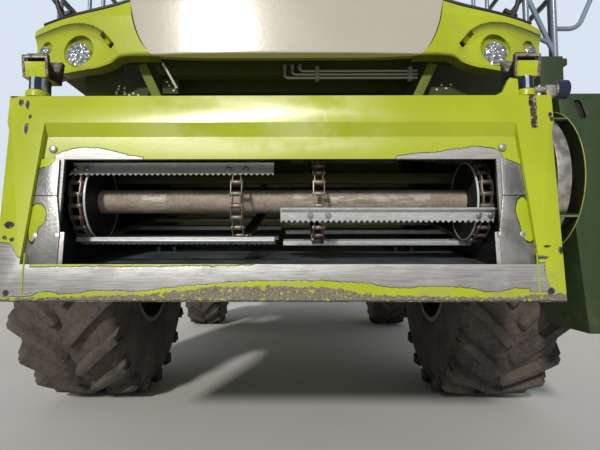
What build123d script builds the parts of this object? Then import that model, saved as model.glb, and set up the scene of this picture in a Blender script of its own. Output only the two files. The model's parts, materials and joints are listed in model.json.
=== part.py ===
from build123d import *
from math import atan2, cos, degrees, hypot, pi, radians, sin, sqrt
import os

os.makedirs("parts", exist_ok=True)

# A self-propelled combine harvester, parked on its wheels with the front attachment taken off.
# Millimetres. The machine faces -Y, the driver's left hand is +X and the ground is Z = 0.
# Stations along the machine are measured from the front axle, rearwards positive.

# Overall layout
FRONT_REACH = 1978.0  # front axle to the foremost edge of the feeder sill
REAR_REACH = 6450.0  # front axle to the rearmost edge of the unloading spout
WHEELBASE = 3750.0
FRONT_TRACK = 2810.0
REAR_TRACK = 2850.0
MIRROR_REACH = 1990.0  # centre line to the outer edge of each mirror
RUN = 0.3  # running clearance of pins, shafts and seats
GAP = 8.0  # clearance round doors and flaps

AXLE_Y = (FRONT_REACH - REAR_REACH) / 2
SIDES = ((1, "left"), (-1, "right"))


def st(station):
    """Row Y of a station measured from the front axle."""
    return AXLE_Y + station


def at(x, station, z):
    """Point from an X, a station and a height."""
    return (x, st(station), z)


def save(part, name):
    part.label = name
    export_step(part, f"parts/{name}.step")


def save_pair(part, name):
    """Writes a left piece and its mirror image on the right."""
    save(part, f"{name}_left")
    save(mirror(part, about=Plane.YZ), f"{name}_right")


def both_sides(part):
    """One part of a left piece and its mirror image."""
    return Part() + [part, mirror(part, about=Plane.YZ)]


def add_profile(points, x0, x1, mode=Mode.ADD):
    """Extrudes an outline of (station, height) points from x0 to x1."""
    with BuildSketch(Plane(origin=(x0, 0, 0), x_dir=(0, 1, 0), z_dir=(1, 0, 0))) as outline:
        with BuildLine():
            Polyline(*[(st(y), z) for y, z in points], close=True)
        make_face()
    extrude(outline.sketch, amount=x1 - x0, dir=(1, 0, 0), mode=mode)


def add_front(points, y0, y1, mode=Mode.ADD):
    """Extrudes an outline of (x, height) points from station y0 to station y1."""
    with BuildSketch(Plane(origin=(0, st(y0), 0), x_dir=(1, 0, 0), z_dir=(0, -1, 0))) as outline:
        with BuildLine():
            Polyline(*points, close=True)
        make_face()
    extrude(outline.sketch, amount=y1 - y0, dir=(0, 1, 0), mode=mode)


def add_plan(points, z0, z1, mode=Mode.ADD):
    """Extrudes an outline of (x, station) points from height z0 to height z1."""
    with BuildSketch(Plane.XY.offset(z0)) as outline:
        with BuildLine():
            Polyline(*[(x, st(y)) for x, y in points], close=True)
        make_face()
    extrude(outline.sketch, amount=z1 - z0, dir=(0, 0, 1), mode=mode)


def add_block(xs, ys, zs, mode=Mode.ADD):
    """A box between two X values, two stations and two heights."""
    add_plan([(xs[0], ys[0]), (xs[1], ys[0]), (xs[1], ys[1]), (xs[0], ys[1])], zs[0], zs[1], mode)


def add_bar(start, end, radius, mode=Mode.ADD):
    """A round bar between two points."""
    path = Vector(*end) - Vector(*start)
    with BuildSketch(Plane(origin=start, z_dir=path)) as section:
        Circle(radius)
    extrude(section.sketch, amount=path.length, mode=mode)


def add_tube_run(points, bend, radius):
    """A round tube along straight runs joined by bends of one radius."""
    with BuildLine() as path:
        FilletPolyline(*points, radius=bend)
    with BuildSketch(Plane(origin=path.line @ 0, z_dir=path.line % 0)) as section:
        Circle(radius)
    sweep(section.sketch, path=path.line)


# Wheels
FRONT_TYRE = dict(radius=960.0, width=680.0, rim=406.0, lug=48.0, lugs=21, disc_at=70.0, hub=170.0)
REAR_TYRE = dict(radius=655.0, width=500.0, rim=305.0, lug=38.0, lugs=18, disc_at=50.0, hub=120.0)
FRONT_SPINDLE = 100.0
REAR_SPINDLE = 55.0
RIM_FLANGE = 26.0
RIM_WALL = 14.0
RIM_WELL = 60.0
DISC_THICK = 22.0
HUB_LENGTH = 150.0
HUB_INBOARD = 60.0  # how far the hub reaches inboard of its disc
HUB_BORE = 93.0
LUG_ANGLE = 45.0
LUG_DRAFT = 7.0
FRONT_AXLE_Z = FRONT_TYRE["radius"]
REAR_AXLE_Z = REAR_TYRE["radius"]
FRONT_X = FRONT_TRACK / 2
REAR_X = REAR_TRACK / 2


def wheel_plane(centre):
    """Plane through a wheel centre with local x along the axle and local y up."""
    return Plane(origin=centre, x_dir=(1, 0, 0), z_dir=(0, -1, 0))


def lug_plane(centre, around, radius):
    """Plane square to a radius of the wheel, turned from the top towards the front."""
    out = Vector(0, -sin(radians(around)), cos(radians(around)))
    return Plane(origin=Vector(*centre) + out * radius, x_dir=(1, 0, 0), z_dir=out)


def make_tyre(size, centre):
    """Carcass of a drive tyre with two rows of slanted lugs."""
    base = size["radius"] - size["lug"]
    half = size["width"] / 2
    bead = size["rim"] + RUN
    depth = base - bead
    # outline columns: half width, radius
    outline = [
        (half - 2.2 * RIM_FLANGE, bead),
        (half - 2.2 * RIM_FLANGE, bead + RIM_FLANGE),
        (half * 0.94, bead + 0.16 * depth),
        (half, bead + 0.52 * depth),
        (half * 0.96, bead + 0.86 * depth),
        (half * 0.80, base - 8),
    ]
    left = [(-px, pr) for px, pr in reversed(outline)]
    reach = half * 0.97
    length = reach / cos(radians(LUG_ANGLE)) * 0.91
    breadth = size["lug"] * 1.15
    foot_radius = base - 34
    # the corners of the flat lug tops lie on the tyre's radius, one of them at the very bottom
    draft = 2 * (size["lug"] + 34) * sin(radians(LUG_DRAFT)) / cos(radians(LUG_DRAFT))
    corner = ((length - draft) + (breadth - draft)) / 2 * sin(radians(45))
    top_radius = sqrt(size["radius"] ** 2 - corner**2)
    phase = 180 - degrees(atan2(corner, top_radius))
    with BuildPart() as tyre:
        with BuildSketch(wheel_plane(centre)):
            with BuildLine():
                Polyline(*outline, (0, base), *left, close=True)
            make_face()
        revolve(axis=Axis(centre, (1, 0, 0)))
        for row, turn in ((1, LUG_ANGLE), (-1, 180 - LUG_ANGLE)):
            for i in range(size["lugs"]):
                around = phase + (i + (0.5 if row < 0 else 0)) * 360 / size["lugs"]
                with BuildSketch(lug_plane(centre, around, foot_radius)):
                    with Locations((row * reach * 0.5, 0)):
                        Rectangle(length, breadth, rotation=turn)
                extrude(amount=top_radius - foot_radius, taper=LUG_DRAFT)
    return tyre.part


def make_rim(size, centre, spindle):
    """Barrel with flanges, a disc with hand holes, and a hub with a blind bore. Left side."""
    half = size["width"] / 2 - 2.2 * RIM_FLANGE + RUN
    r = size["rim"]
    well = r - RIM_WELL
    face = Plane(origin=Vector(*centre) + Vector(size["disc_at"], 0, 0), x_dir=(0, 1, 0), z_dir=(1, 0, 0))
    # barrel section columns: x from the wheel centre, outer radius
    section = [
        (half + RIM_WALL, r + RIM_FLANGE),
        (half, r + RIM_FLANGE),
        (half, r),
        (half * 0.62, r - 4),
        (half * 0.45, well),
        (-half * 0.45, well),
        (-half * 0.62, r - 4),
        (-half, r),
        (-half, r + RIM_FLANGE),
        (-half - RIM_WALL, r + RIM_FLANGE),
        (-half - RIM_WALL, r - RIM_WALL),
        (-half * 0.60, r - 4 - RIM_WALL),
        (-half * 0.43, well - RIM_WALL),
        (half * 0.43, well - RIM_WALL),
        (half * 0.60, r - 4 - RIM_WALL),
        (half + RIM_WALL, r - RIM_WALL),
    ]
    with BuildPart() as rim:
        with BuildSketch(wheel_plane(centre)):
            with BuildLine():
                Polyline(*section, close=True)
            make_face()
        revolve(axis=Axis(centre, (1, 0, 0)))
        with BuildSketch(face):
            Circle(well - RIM_WALL / 2)
            with PolarLocations(well * 0.70, 8):
                Circle(well * 0.115, mode=Mode.SUBTRACT)
        extrude(amount=DISC_THICK)
        with BuildSketch(face.offset(-HUB_INBOARD)):
            Circle(size["hub"])
        extrude(amount=HUB_LENGTH, taper=6)
        with BuildSketch(face.offset(-HUB_INBOARD)):
            Circle(spindle + RUN)
        extrude(amount=HUB_BORE, mode=Mode.SUBTRACT)
    return rim.part


front_centre = at(FRONT_X, 0, FRONT_AXLE_Z)
rear_centre = at(REAR_X, WHEELBASE, REAR_AXLE_Z)
save_pair(make_tyre(FRONT_TYRE, front_centre), "front_tyre")
save_pair(make_rim(FRONT_TYRE, front_centre, FRONT_SPINDLE), "front_rim")
save_pair(make_tyre(REAR_TYRE, rear_centre), "rear_tyre")
save_pair(make_rim(REAR_TYRE, rear_centre, REAR_SPINDLE), "rear_rim")

# Front axle with final drives and the lift cylinder brackets
AXLE_HALF_DEPTH = 130.0
AXLE_TOP = 1090.0
AXLE_BOTTOM = 830.0
BODY_HALF = 905.0  # outside of the threshing body and of the pivot cheeks
DRIVE_RADIUS = 270.0
DRIVE_END = 1380.0
LIFT_X = 620.0
LIFT_FOOT = (-240.0, 800.0)  # station and height of the lower pin
LIFT_EYE = (-1250.0, 1000.0)  # station and height of the rod's eye
LIFT_PIN = 22.0
LIFT_BARREL = 52.0
LIFT_ROD = 28.0
LIFT_EYE_R = 42.0
LIFT_EYE_HALF = 30.0
LUG_PLATE = 18.0
LUG_SIDE_GAP = 2.0


def spindle_end(track_half, size):
    return track_half + size["disc_at"] - HUB_INBOARD + HUB_BORE - 1.5


def add_lug_pair(x, foot, radius, hole, base):
    """Two plates beside an eye: a rounded nose at the pin and a base outline behind it."""
    for side in (1, -1):
        inner = x + side * (LIFT_EYE_HALF + LUG_SIDE_GAP)
        outer = inner + side * LUG_PLATE
        x0, x1 = min(inner, outer), max(inner, outer)
        add_profile(base, x0, x1)
        add_bar(at(x0, *foot), at(x1, *foot), radius)
        if hole:
            add_bar(at(x0 - 1, *foot), at(x1 + 1, *foot), hole, Mode.SUBTRACT)


with BuildPart() as front_axle:
    add_block((-BODY_HALF, BODY_HALF), (-AXLE_HALF_DEPTH, AXLE_HALF_DEPTH), (AXLE_BOTTOM, AXLE_TOP))
    for side, name in SIDES:
        end = spindle_end(FRONT_X, FRONT_TYRE)
        add_bar(at(side * (BODY_HALF - 30), 0, FRONT_AXLE_Z), at(side * DRIVE_END, 0, FRONT_AXLE_Z), DRIVE_RADIUS)
        add_bar(at(side * DRIVE_END, 0, FRONT_AXLE_Z), at(side * end, 0, FRONT_AXLE_Z), FRONT_SPINDLE)
        foot_y, foot_z = LIFT_FOOT
        base = [
            (-AXLE_HALF_DEPTH, foot_z + 90),
            (-AXLE_HALF_DEPTH, AXLE_BOTTOM),
            (foot_y, foot_z - 45),
            (foot_y, foot_z + 45),
        ]
        add_lug_pair(side * LIFT_X, LIFT_FOOT, 45, LIFT_PIN + RUN, base)
save(front_axle.part, "front_axle")

# Chassis rails, cross members and the rear towing jaw
RAIL_X = 480.0
RAIL_HALF = 50.0
BODY_BOTTOM = 1230.0
RAIL_END = 4500.0
rail_line = [
    (AXLE_HALF_DEPTH, 950),
    (AXLE_HALF_DEPTH, AXLE_TOP),
    (330, AXLE_TOP),
    (400, BODY_BOTTOM - RUN),
    (RAIL_END, BODY_BOTTOM - RUN),
    (RAIL_END, 1080),
    (620, 1080),
    (450, 950),
]
REAR_AXLE_PIVOT_Z = 830.0
JAW_BORE = 16.0
with BuildPart() as chassis_frame:
    for side, name in SIDES:
        add_profile(rail_line, side * RAIL_X - RAIL_HALF, side * RAIL_X + RAIL_HALF)
    for station in (520, 2000, 3300, 4150, 4420):
        add_block((-RAIL_X, RAIL_X), (station - 40, station + 40), (1090, 1200))
    # pivot hangers of the rear axle, one ahead of the beam and one behind it
    for station in (WHEELBASE - 112, WHEELBASE + 112):
        hanger = [(-RAIL_X + 20, 1100), (RAIL_X - 20, 1100), (130, 760), (-130, 760)]
        add_front(hanger, station - 18, station + 18)
    add_block((-RAIL_X, RAIL_X), (WHEELBASE - 130, WHEELBASE + 130), (1081, 1180))
    # towing jaw
    add_block((-90, 90), (RAIL_END - 60, RAIL_END + 90), (1000, 1100))
    add_block((-70, 70), (RAIL_END + 90, RAIL_END + 190), (1070, 1100))
    add_block((-70, 70), (RAIL_END + 90, RAIL_END + 190), (1000, 1030))
    add_bar(at(0, RAIL_END + 140, 990), at(0, RAIL_END + 140, 1110), JAW_BORE, Mode.SUBTRACT)
save(chassis_frame.part, "chassis_frame")

# Rear axle: a beam hung on a lengthwise pin, with a fork at each end for the kingpin
KINGPIN_X = 1110.0
KINGPIN_R = 28.0
KNUCKLE_BOSS = 50.0
KNUCKLE_HALF = 58.0
FORK_PLATE = 30.0
FORK_NOSE = 55.0
BEAM_END = 1020.0
PIVOT_PIN = 35.0
TIE_ARM = 230.0
TIE_PIN = 16.0
TIE_Z = 617.0
ARM_Z = (640.0, 672.0)

with BuildPart() as rear_axle:
    add_front(
        [
            (-BEAM_END, 560), (-300, 545), (300, 545), (BEAM_END, 560),
            (BEAM_END, 750), (300, 905), (-300, 905), (-BEAM_END, 750),
        ],
        WHEELBASE - 75,
        WHEELBASE + 75,
    )
    # the beam narrows in plan towards the forks
    for side, name in SIDES:
        for edge in (1, -1):
            corner = [
                (side * (BEAM_END + 1), WHEELBASE + edge * 40),
                (side * 850, WHEELBASE + edge * 75.5),
                (side * (BEAM_END + 1), WHEELBASE + edge * 75.5),
            ]
            add_plan(corner, 540, 910, Mode.SUBTRACT)
        for z in (REAR_AXLE_Z - KNUCKLE_HALF - RUN - FORK_PLATE, REAR_AXLE_Z + KNUCKLE_HALF + RUN):
            add_block(
                sorted((side * (BEAM_END - 20), side * KINGPIN_X)),
                (WHEELBASE - 40, WHEELBASE + 40),
                (z, z + FORK_PLATE),
            )
            add_bar(at(side * KINGPIN_X, WHEELBASE, z), at(side * KINGPIN_X, WHEELBASE, z + FORK_PLATE), FORK_NOSE)
        add_bar(at(side * KINGPIN_X, WHEELBASE, 500), at(side * KINGPIN_X, WHEELBASE, 800), KINGPIN_R + RUN, Mode.SUBTRACT)
    add_bar(
        at(0, WHEELBASE - 94 + RUN, REAR_AXLE_PIVOT_Z),
        at(0, WHEELBASE + 94 - RUN, REAR_AXLE_PIVOT_Z),
        PIVOT_PIN * 1.6,
    )
save(rear_axle.part, "rear_axle")

with BuildPart() as knuckle:
    low = REAR_AXLE_Z - KNUCKLE_HALF
    high = REAR_AXLE_Z + KNUCKLE_HALF
    end = spindle_end(REAR_X, REAR_TYRE)
    add_bar(at(KINGPIN_X, WHEELBASE, low), at(KINGPIN_X, WHEELBASE, high), KNUCKLE_BOSS)
    pin_ends = (low - RUN - FORK_PLATE - 6, high + RUN + FORK_PLATE + 6)
    add_bar(at(KINGPIN_X, WHEELBASE, pin_ends[0]), at(KINGPIN_X, WHEELBASE, pin_ends[1]), KINGPIN_R)
    add_bar(at(KINGPIN_X, WHEELBASE, REAR_AXLE_Z), at(end, WHEELBASE, REAR_AXLE_Z), REAR_SPINDLE)
    add_bar(at(KINGPIN_X + 52, WHEELBASE, REAR_AXLE_Z), at(KINGPIN_X + 120, WHEELBASE, REAR_AXLE_Z), 57)
    add_block((KINGPIN_X - 22, KINGPIN_X + 22), (WHEELBASE, WHEELBASE + TIE_ARM), ARM_Z)
    add_bar(at(KINGPIN_X, WHEELBASE + TIE_ARM, ARM_Z[0]), at(KINGPIN_X, WHEELBASE + TIE_ARM, ARM_Z[1]), 30)
    add_bar(at(KINGPIN_X, WHEELBASE + TIE_ARM, TIE_Z - 20), at(KINGPIN_X, WHEELBASE + TIE_ARM, ARM_Z[0] + 1), TIE_PIN)
save_pair(knuckle.part, "knuckle")

with BuildPart() as tie_rod:
    station = WHEELBASE + TIE_ARM
    add_bar(at(-KINGPIN_X + 20, station, TIE_Z), at(KINGPIN_X - 20, station, TIE_Z), 18)
    for side, name in SIDES:
        add_bar(at(side * KINGPIN_X, station, TIE_Z - 20), at(side * KINGPIN_X, station, TIE_Z + 20), 34)
        add_bar(at(side * KINGPIN_X, station, TIE_Z - 30), at(side * KINGPIN_X, station, TIE_Z + 30), TIE_PIN + RUN, Mode.SUBTRACT)
save(tie_rod.part, "tie_rod")

# Threshing body with its deck, the pivot cheeks and the fan housing
BODY_FRONT = 200.0
BODY_REAR = 5150.0
CHANNEL_HALF = 900.0  # inside half width of the feeder channel
CHANNEL_SHEET = 12.0
CHEEK_INSIDE = CHANNEL_HALF + CHANNEL_SHEET + 18.0
BODY_TOP = 2450.0
CAB_SHELF = 2120.0
DECK_TOP = 2500.0
DECK_HALF = 1450.0
DECK_FRONT = 420.0
CHEEK = 25.0
CHEEK_FRONT = -300.0
PIVOT = (-100.0, 1550.0)  # station and height of the feeder's pivot
PIVOT_PIN_R = 40.0
PANEL_HINGE = (1468.0, 2508.0)  # x and height of the side flap's hinge line
HINGE_PIN = 9.0
HINGE_LUG = 10.0
PANEL_HINGES = (900.0, 2700.0, 4600.0)

with BuildPart() as threshing_body:
    add_profile(
        [
            (BODY_FRONT, BODY_BOTTOM), (BODY_FRONT, CAB_SHELF), (DECK_FRONT, CAB_SHELF),
            (DECK_FRONT, BODY_TOP + 5), (BODY_REAR, BODY_TOP + 5), (BODY_REAR, 1560), (4750, BODY_BOTTOM),
        ],
        -BODY_HALF,
        BODY_HALF,
    )
    add_block((-DECK_HALF, DECK_HALF), (DECK_FRONT, BODY_REAR - 100), (BODY_TOP, DECK_TOP))
    add_bar(at(-400, 1050, 1290), at(400, 1050, 1290), 290)
    bulkhead = CHEEK_INSIDE + CHEEK
    add_block((-bulkhead, bulkhead), (BODY_FRONT, BODY_FRONT + 40), (BODY_BOTTOM, CAB_SHELF))
    for side, name in SIDES:
        cheek = [
            (BODY_FRONT + 10, BODY_BOTTOM + 60), (CHEEK_FRONT, PIVOT[1] - 120), (CHEEK_FRONT, CAB_SHELF),
            (BODY_FRONT + 10, CAB_SHELF),
        ]
        x0, x1 = sorted((side * CHEEK_INSIDE, side * (CHEEK_INSIDE + CHEEK)))
        add_profile(cheek, x0, x1)
        add_bar(at(x0 - 1, *PIVOT), at(x1 + 1, *PIVOT), PIVOT_PIN_R + RUN, Mode.SUBTRACT)
        for station in PANEL_HINGES:
            for step in (-60, 50):
                lug = [
                    (side * (DECK_HALF - 60), DECK_TOP - 5), (side * DECK_HALF, DECK_TOP - 5),
                    (side * (PANEL_HINGE[0] + 14), PANEL_HINGE[1]), (side * PANEL_HINGE[0], PANEL_HINGE[1] + 16),
                    (side * (DECK_HALF - 60), DECK_TOP + 10),
                ]
                add_front(lug, station + step, station + step + HINGE_LUG)
            x, z = side * PANEL_HINGE[0], PANEL_HINGE[1]
            add_bar(at(x, station - 80, z), at(x, station + 80, z), HINGE_PIN + RUN, Mode.SUBTRACT)
save(threshing_body.part, "threshing_body")

# Side flaps: bowed sheets hinged along the deck
PANEL_THICK = 28.0
ARCH_RADIUS = 1130.0
PANEL_FRONT = 450.0
PANEL_REAR = 5100.0
PANEL_LOW = 1330.0
PANEL_LOW_REAR = 1430.0

with BuildPart() as side_panel:
    x = PANEL_HINGE[0]
    top = DECK_TOP - GAP
    arch_y = sqrt(ARCH_RADIUS**2 - (PANEL_LOW - FRONT_AXLE_Z) ** 2)
    arch_z = FRONT_AXLE_Z + sqrt(ARCH_RADIUS**2 - PANEL_FRONT**2)
    mid = radians((degrees(atan2(PANEL_LOW - FRONT_AXLE_Z, arch_y)) + degrees(atan2(arch_z - FRONT_AXLE_Z, PANEL_FRONT))) / 2)
    with BuildSketch(Plane(origin=(0, st(PANEL_FRONT), 0), x_dir=(1, 0, 0), z_dir=(0, -1, 0))):
        with BuildLine():
            ThreePointArc((x - 6, top), (x + 34, 1950), (x - 8, PANEL_LOW - 20))
            Line((x - 8, PANEL_LOW - 20), (x - 8 + PANEL_THICK, PANEL_LOW - 20))
            ThreePointArc((x - 8 + PANEL_THICK, PANEL_LOW - 20), (x + 34 + PANEL_THICK, 1950), (x - 6 + PANEL_THICK, top))
            Line((x - 6 + PANEL_THICK, top), (x - 6, top))
        make_face()
    extrude(amount=PANEL_REAR - PANEL_FRONT, dir=(0, 1, 0))
    with BuildSketch(Plane(origin=(x - 60, 0, 0), x_dir=(0, 1, 0), z_dir=(1, 0, 0))):
        with BuildLine():
            Polyline((st(PANEL_FRONT), arch_z), (st(PANEL_FRONT), top + 1), (st(PANEL_REAR), top + 1))
            Polyline((st(PANEL_REAR), top + 1), (st(PANEL_REAR), 1640), (st(4900), PANEL_LOW_REAR))
            Polyline((st(4900), PANEL_LOW_REAR), (st(3020), PANEL_LOW_REAR), (st(2860), PANEL_LOW), (st(arch_y), PANEL_LOW))
            ThreePointArc(
                (st(arch_y), PANEL_LOW),
                (st(ARCH_RADIUS * cos(mid)), FRONT_AXLE_Z + ARCH_RADIUS * sin(mid)),
                (st(PANEL_FRONT), arch_z),
            )
        make_face()
    extrude(amount=160, mode=Mode.INTERSECT)
    for station in PANEL_HINGES:
        tab = [(x - 5, top - 30), (x + 12, top - 30), (x + 9, PANEL_HINGE[1]), (x - 9, PANEL_HINGE[1])]
        add_front(tab, station - 46, station + 46)
        add_bar(at(x, station - 68, PANEL_HINGE[1]), at(x, station + 68, PANEL_HINGE[1]), HINGE_PIN)
save_pair(side_panel.part, "side_panel")

# Grain tank with sloping floors and gables, and its two covers
TANK_HALF = 1200.0
TANK_FRONT = 425.0
TANK_REAR = 2950.0
TANK_TOP = 3600.0
TANK_WALL = 25.0
RIDGE = 3770.0
LID_THICK = 30.0
LID_HINGE = (TANK_HALF - 4, TANK_TOP + 22)

with BuildPart() as grain_tank:
    wall_x = TANK_HALF
    inner = TANK_HALF - TANK_WALL
    add_block((-wall_x, wall_x), (TANK_FRONT, TANK_REAR), (DECK_TOP + RUN, TANK_TOP))
    gable = [(-inner, TANK_TOP - 5), (inner, TANK_TOP - 5), (inner, TANK_TOP + 2), (0, RIDGE - LID_THICK - GAP), (-inner, TANK_TOP + 2)]
    add_front(gable, TANK_FRONT, TANK_FRONT + TANK_WALL)
    add_front(gable, TANK_REAR - TANK_WALL, TANK_REAR)
    hopper = [(-inner, RIDGE), (inner, RIDGE), (inner, 3000), (220, DECK_TOP + 60), (-220, DECK_TOP + 60), (-inner, 3000)]
    add_front(hopper, TANK_FRONT + TANK_WALL, TANK_REAR - TANK_WALL, Mode.SUBTRACT)
    for side, name in SIDES:
        for station in (700, TANK_REAR - 300):
            for step in (-60, 50):
                lug = [
                    (side * (TANK_HALF - 20), TANK_TOP - 40), (side * (TANK_HALF + 14), TANK_TOP - 10),
                    (side * (TANK_HALF + 14), LID_HINGE[1] + 10), (side * (TANK_HALF - 20), LID_HINGE[1] + 10),
                ]
                add_front(lug, station + step, station + step + HINGE_LUG)
            x = side * LID_HINGE[0]
            add_bar(at(x, station - 80, LID_HINGE[1]), at(x, station + 80, LID_HINGE[1]), HINGE_PIN + RUN, Mode.SUBTRACT)
save(grain_tank.part, "grain_tank")

with BuildPart() as tank_lid:
    low = TANK_TOP + 12
    lid = [
        (TANK_HALF - 28, low), (TANK_HALF - 28, low + LID_THICK), (GAP / 2, RIDGE), (GAP / 2, RIDGE - LID_THICK),
    ]
    add_front(lid, TANK_FRONT + 2, TANK_REAR - 2)
    for station in (700, TANK_REAR - 300):
        add_block((TANK_HALF - 60, TANK_HALF + 2), (station - 46, station + 46), (low + 2, low + 18))
        add_bar(at(LID_HINGE[0], station - 68, LID_HINGE[1]), at(LID_HINGE[0], station + 68, LID_HINGE[1]), HINGE_PIN)
save_pair(tank_lid.part, "tank_lid")

# Engine compartment, its engine, dust screen and exhaust
HOOD_FRONT = TANK_REAR + 6
HOOD_REAR = 4750.0
HOOD_HALF = 1200.0
HOOD_TOP = 3420.0
HOOD_WALL = 30.0

with BuildPart() as engine_hood:
    hood = [
        (HOOD_FRONT, DECK_TOP + RUN), (HOOD_FRONT, HOOD_TOP), (HOOD_REAR - 350, HOOD_TOP),
        (HOOD_REAR, HOOD_TOP - 300), (HOOD_REAR, DECK_TOP + RUN),
    ]
    hollow = [
        (HOOD_FRONT + HOOD_WALL, DECK_TOP), (HOOD_FRONT + HOOD_WALL, HOOD_TOP - HOOD_WALL),
        (HOOD_REAR - 365, HOOD_TOP - HOOD_WALL), (HOOD_REAR - HOOD_WALL, HOOD_TOP - 315), (HOOD_REAR - HOOD_WALL, DECK_TOP),
    ]
    add_profile(hood, -HOOD_HALF, HOOD_HALF)
    add_profile(hollow, -HOOD_HALF + HOOD_WALL, HOOD_HALF - HOOD_WALL, Mode.SUBTRACT)
    add_bar(at(-HOOD_HALF - 1, 3800, 2990), at(-HOOD_HALF + HOOD_WALL + 1, 3800, 2990), 380, Mode.SUBTRACT)
save(engine_hood.part, "engine_hood")

with BuildPart() as engine_block:
    add_block((-300, 850), (3250, 4100), (DECK_TOP + RUN, 3250))
save(engine_block.part, "engine_block")

with BuildPart() as dust_screen:
    add_bar(at(-HOOD_HALF - 70, 3800, 2990), at(-HOOD_HALF - RUN, 3800, 2990), 430)
    add_bar(at(-HOOD_HALF - 71, 3800, 2990), at(-HOOD_HALF + 1, 3800, 2990), 370, Mode.SUBTRACT)
    add_bar(at(-HOOD_HALF - 40, 3800, 2990), at(-HOOD_HALF - 20, 3800, 2990), 372)
    add_bar(at(-HOOD_HALF - 100, 3800, 2990), at(-HOOD_HALF + 5, 3800, 2990), 45)
save(dust_screen.part, "dust_screen")

with BuildPart() as exhaust:
    add_bar(at(-700, 4250, HOOD_TOP + RUN), at(-700, 4250, HOOD_TOP + 60), 130)
    add_bar(at(-700, 4250, HOOD_TOP + 30), at(-700, 4250, HOOD_TOP + 240), 95)
    add_tube_run([at(-700, 4250, HOOD_TOP + 230), at(-700, 4250, HOOD_TOP + 340), at(-700, 4420, HOOD_TOP + 420)], 60, 55)
save(exhaust.part, "exhaust")

# Straw hood and the chopper with its spreader vanes
TAIL = 5900.0
with BuildPart() as rear_hood:
    tail = [
        (BODY_REAR + RUN, 1700), (BODY_REAR + RUN, BODY_TOP + 120), (5350, BODY_TOP + 120), (TAIL - 120, 2250), (TAIL, 1850), (TAIL - 60, 1700),
    ]
    hollow = [
        (BODY_REAR, 1690), (BODY_REAR, 2420), (5340, 2420), (TAIL - 155, 2225), (TAIL - 40, 1845), (TAIL - 40, 1690),
    ]
    add_profile(tail, -BODY_HALF, BODY_HALF)
    add_profile(hollow, -BODY_HALF + 30, BODY_HALF - 30, Mode.SUBTRACT)
save(rear_hood.part, "rear_hood")

with BuildPart() as chopper:
    seat = BODY_REAR + RUN
    box = [
        (seat, 1320), (seat, 1600), (5240, 1700 - RUN), (5650, 1700 - RUN), (5800, 1500), (5700, 1300), (5400, 1240),
    ]
    add_profile(box, -860, 860)
    add_bar(at(-900, 5450, 1470), at(900, 5450, 1470), 150)
    # spreader: a sloping roof with curved vanes under it
    add_profile([(5690, 1400), (5700, 1440), (6350, 1250), (6340, 1215)], -980, 980)
    for i in range(7):
        x = (i - 3) * 250
        lean = (i - 3) * 40
        add_plan(
            [(x - 6, 5740), (x + 6, 5740), (x + lean + 6, 6330), (x + lean - 6, 6330)], 1130, 1235
        )
        add_plan([(x - 6, 5740), (x + 6, 5740), (x + 8, 5800), (x - 4, 5800)], 1230, 1400)
        add_profile([(5740, 1230), (5740, 1400), (6300, 1240), (6300, 1230)], x - 6, x + 6)
save(chopper.part, "chopper")

# Unloading turret and tube
TUBE_X = 1400.0
TURRET_STATION = 660.0
TUBE_R = 150.0
TUBE_Z = 3170.0
TURRET_TOP = 2900.0
TURRET_LOW = 2640.0  # the foot is cut back below this, clear of the opened flap
with BuildPart() as auger_turret:
    add_bar(at(TUBE_X, TURRET_STATION, DECK_TOP + RUN), at(TUBE_X, TURRET_STATION, TURRET_TOP), 165)
    relief = (TURRET_STATION - 250, TURRET_STATION + 250)
    add_block((DECK_HALF + 2, TUBE_X + 250), relief, (DECK_TOP, TURRET_LOW), Mode.SUBTRACT)
    add_bar(at(TUBE_X, TURRET_STATION, TURRET_TOP - 60), at(TUBE_X, TURRET_STATION, TURRET_TOP), 195)
    add_block((TANK_HALF + RUN, TUBE_X), (TURRET_STATION - 120, TURRET_STATION + 120), (DECK_TOP + RUN, 2800))
save(auger_turret.part, "auger_turret")

with BuildPart() as unloading_tube:
    add_bar(at(TUBE_X, TURRET_STATION, TURRET_TOP + RUN), at(TUBE_X, TURRET_STATION, TURRET_TOP + 50), 195)
    add_tube_run(
        [
            at(TUBE_X, TURRET_STATION, TURRET_TOP + RUN),
            at(TUBE_X, TURRET_STATION, TUBE_Z),
            at(TUBE_X, REAR_REACH - 120, TUBE_Z),
        ],
        180,
        TUBE_R,
    )
    add_bar(at(TUBE_X, 2900, TUBE_Z), at(TUBE_X, 2960, TUBE_Z), TUBE_R + 22)
    add_profile(
        [
            (REAR_REACH - 340, TUBE_Z + 150), (REAR_REACH - 100, TUBE_Z + 150), (REAR_REACH, TUBE_Z - 120),
            (REAR_REACH - 20, TUBE_Z - 330), (REAR_REACH - 330, TUBE_Z - 280),
        ],
        TUBE_X - 155,
        TUBE_X + 155,
    )
save(unloading_tube.part, "unloading_tube")

# Cab on its subframe
CAB_HALF = 900.0
CAB_FRONT = -1100.0
CAB_REAR = 330.0
CAB_FLOOR = 2250.0
CAB_SILL = 2620.0
CAB_TOP = 3700.0
CAB_WALL = 45.0
CAB_LEAN = 110.0  # how far the top of the front wall stands ahead of its foot
DOOR_Y = (-930.0, -150.0)
DOOR_Z = (2300.0, 3660.0)
DOOR_HINGE = (908.0, -139.0)
GLASS = 8.0


def cab_front_at(z):
    """Station of the cab's front face at a height."""
    return CAB_FRONT - CAB_LEAN * max(0.0, z - CAB_SILL) / (CAB_TOP - CAB_SILL)


# windows, columns: name, range along the wall, height range
RIGHT_WINDOW = ((-1000.0, 260.0), (2680.0, 3640.0))
LEFT_WINDOW = ((-70.0, 260.0), (2780.0, 3640.0))
REAR_WINDOW = ((-620.0, 620.0), (2860.0, 3620.0))
FRONT_WINDOW = ((-845.0, 845.0), (2670.0, 3650.0))

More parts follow.
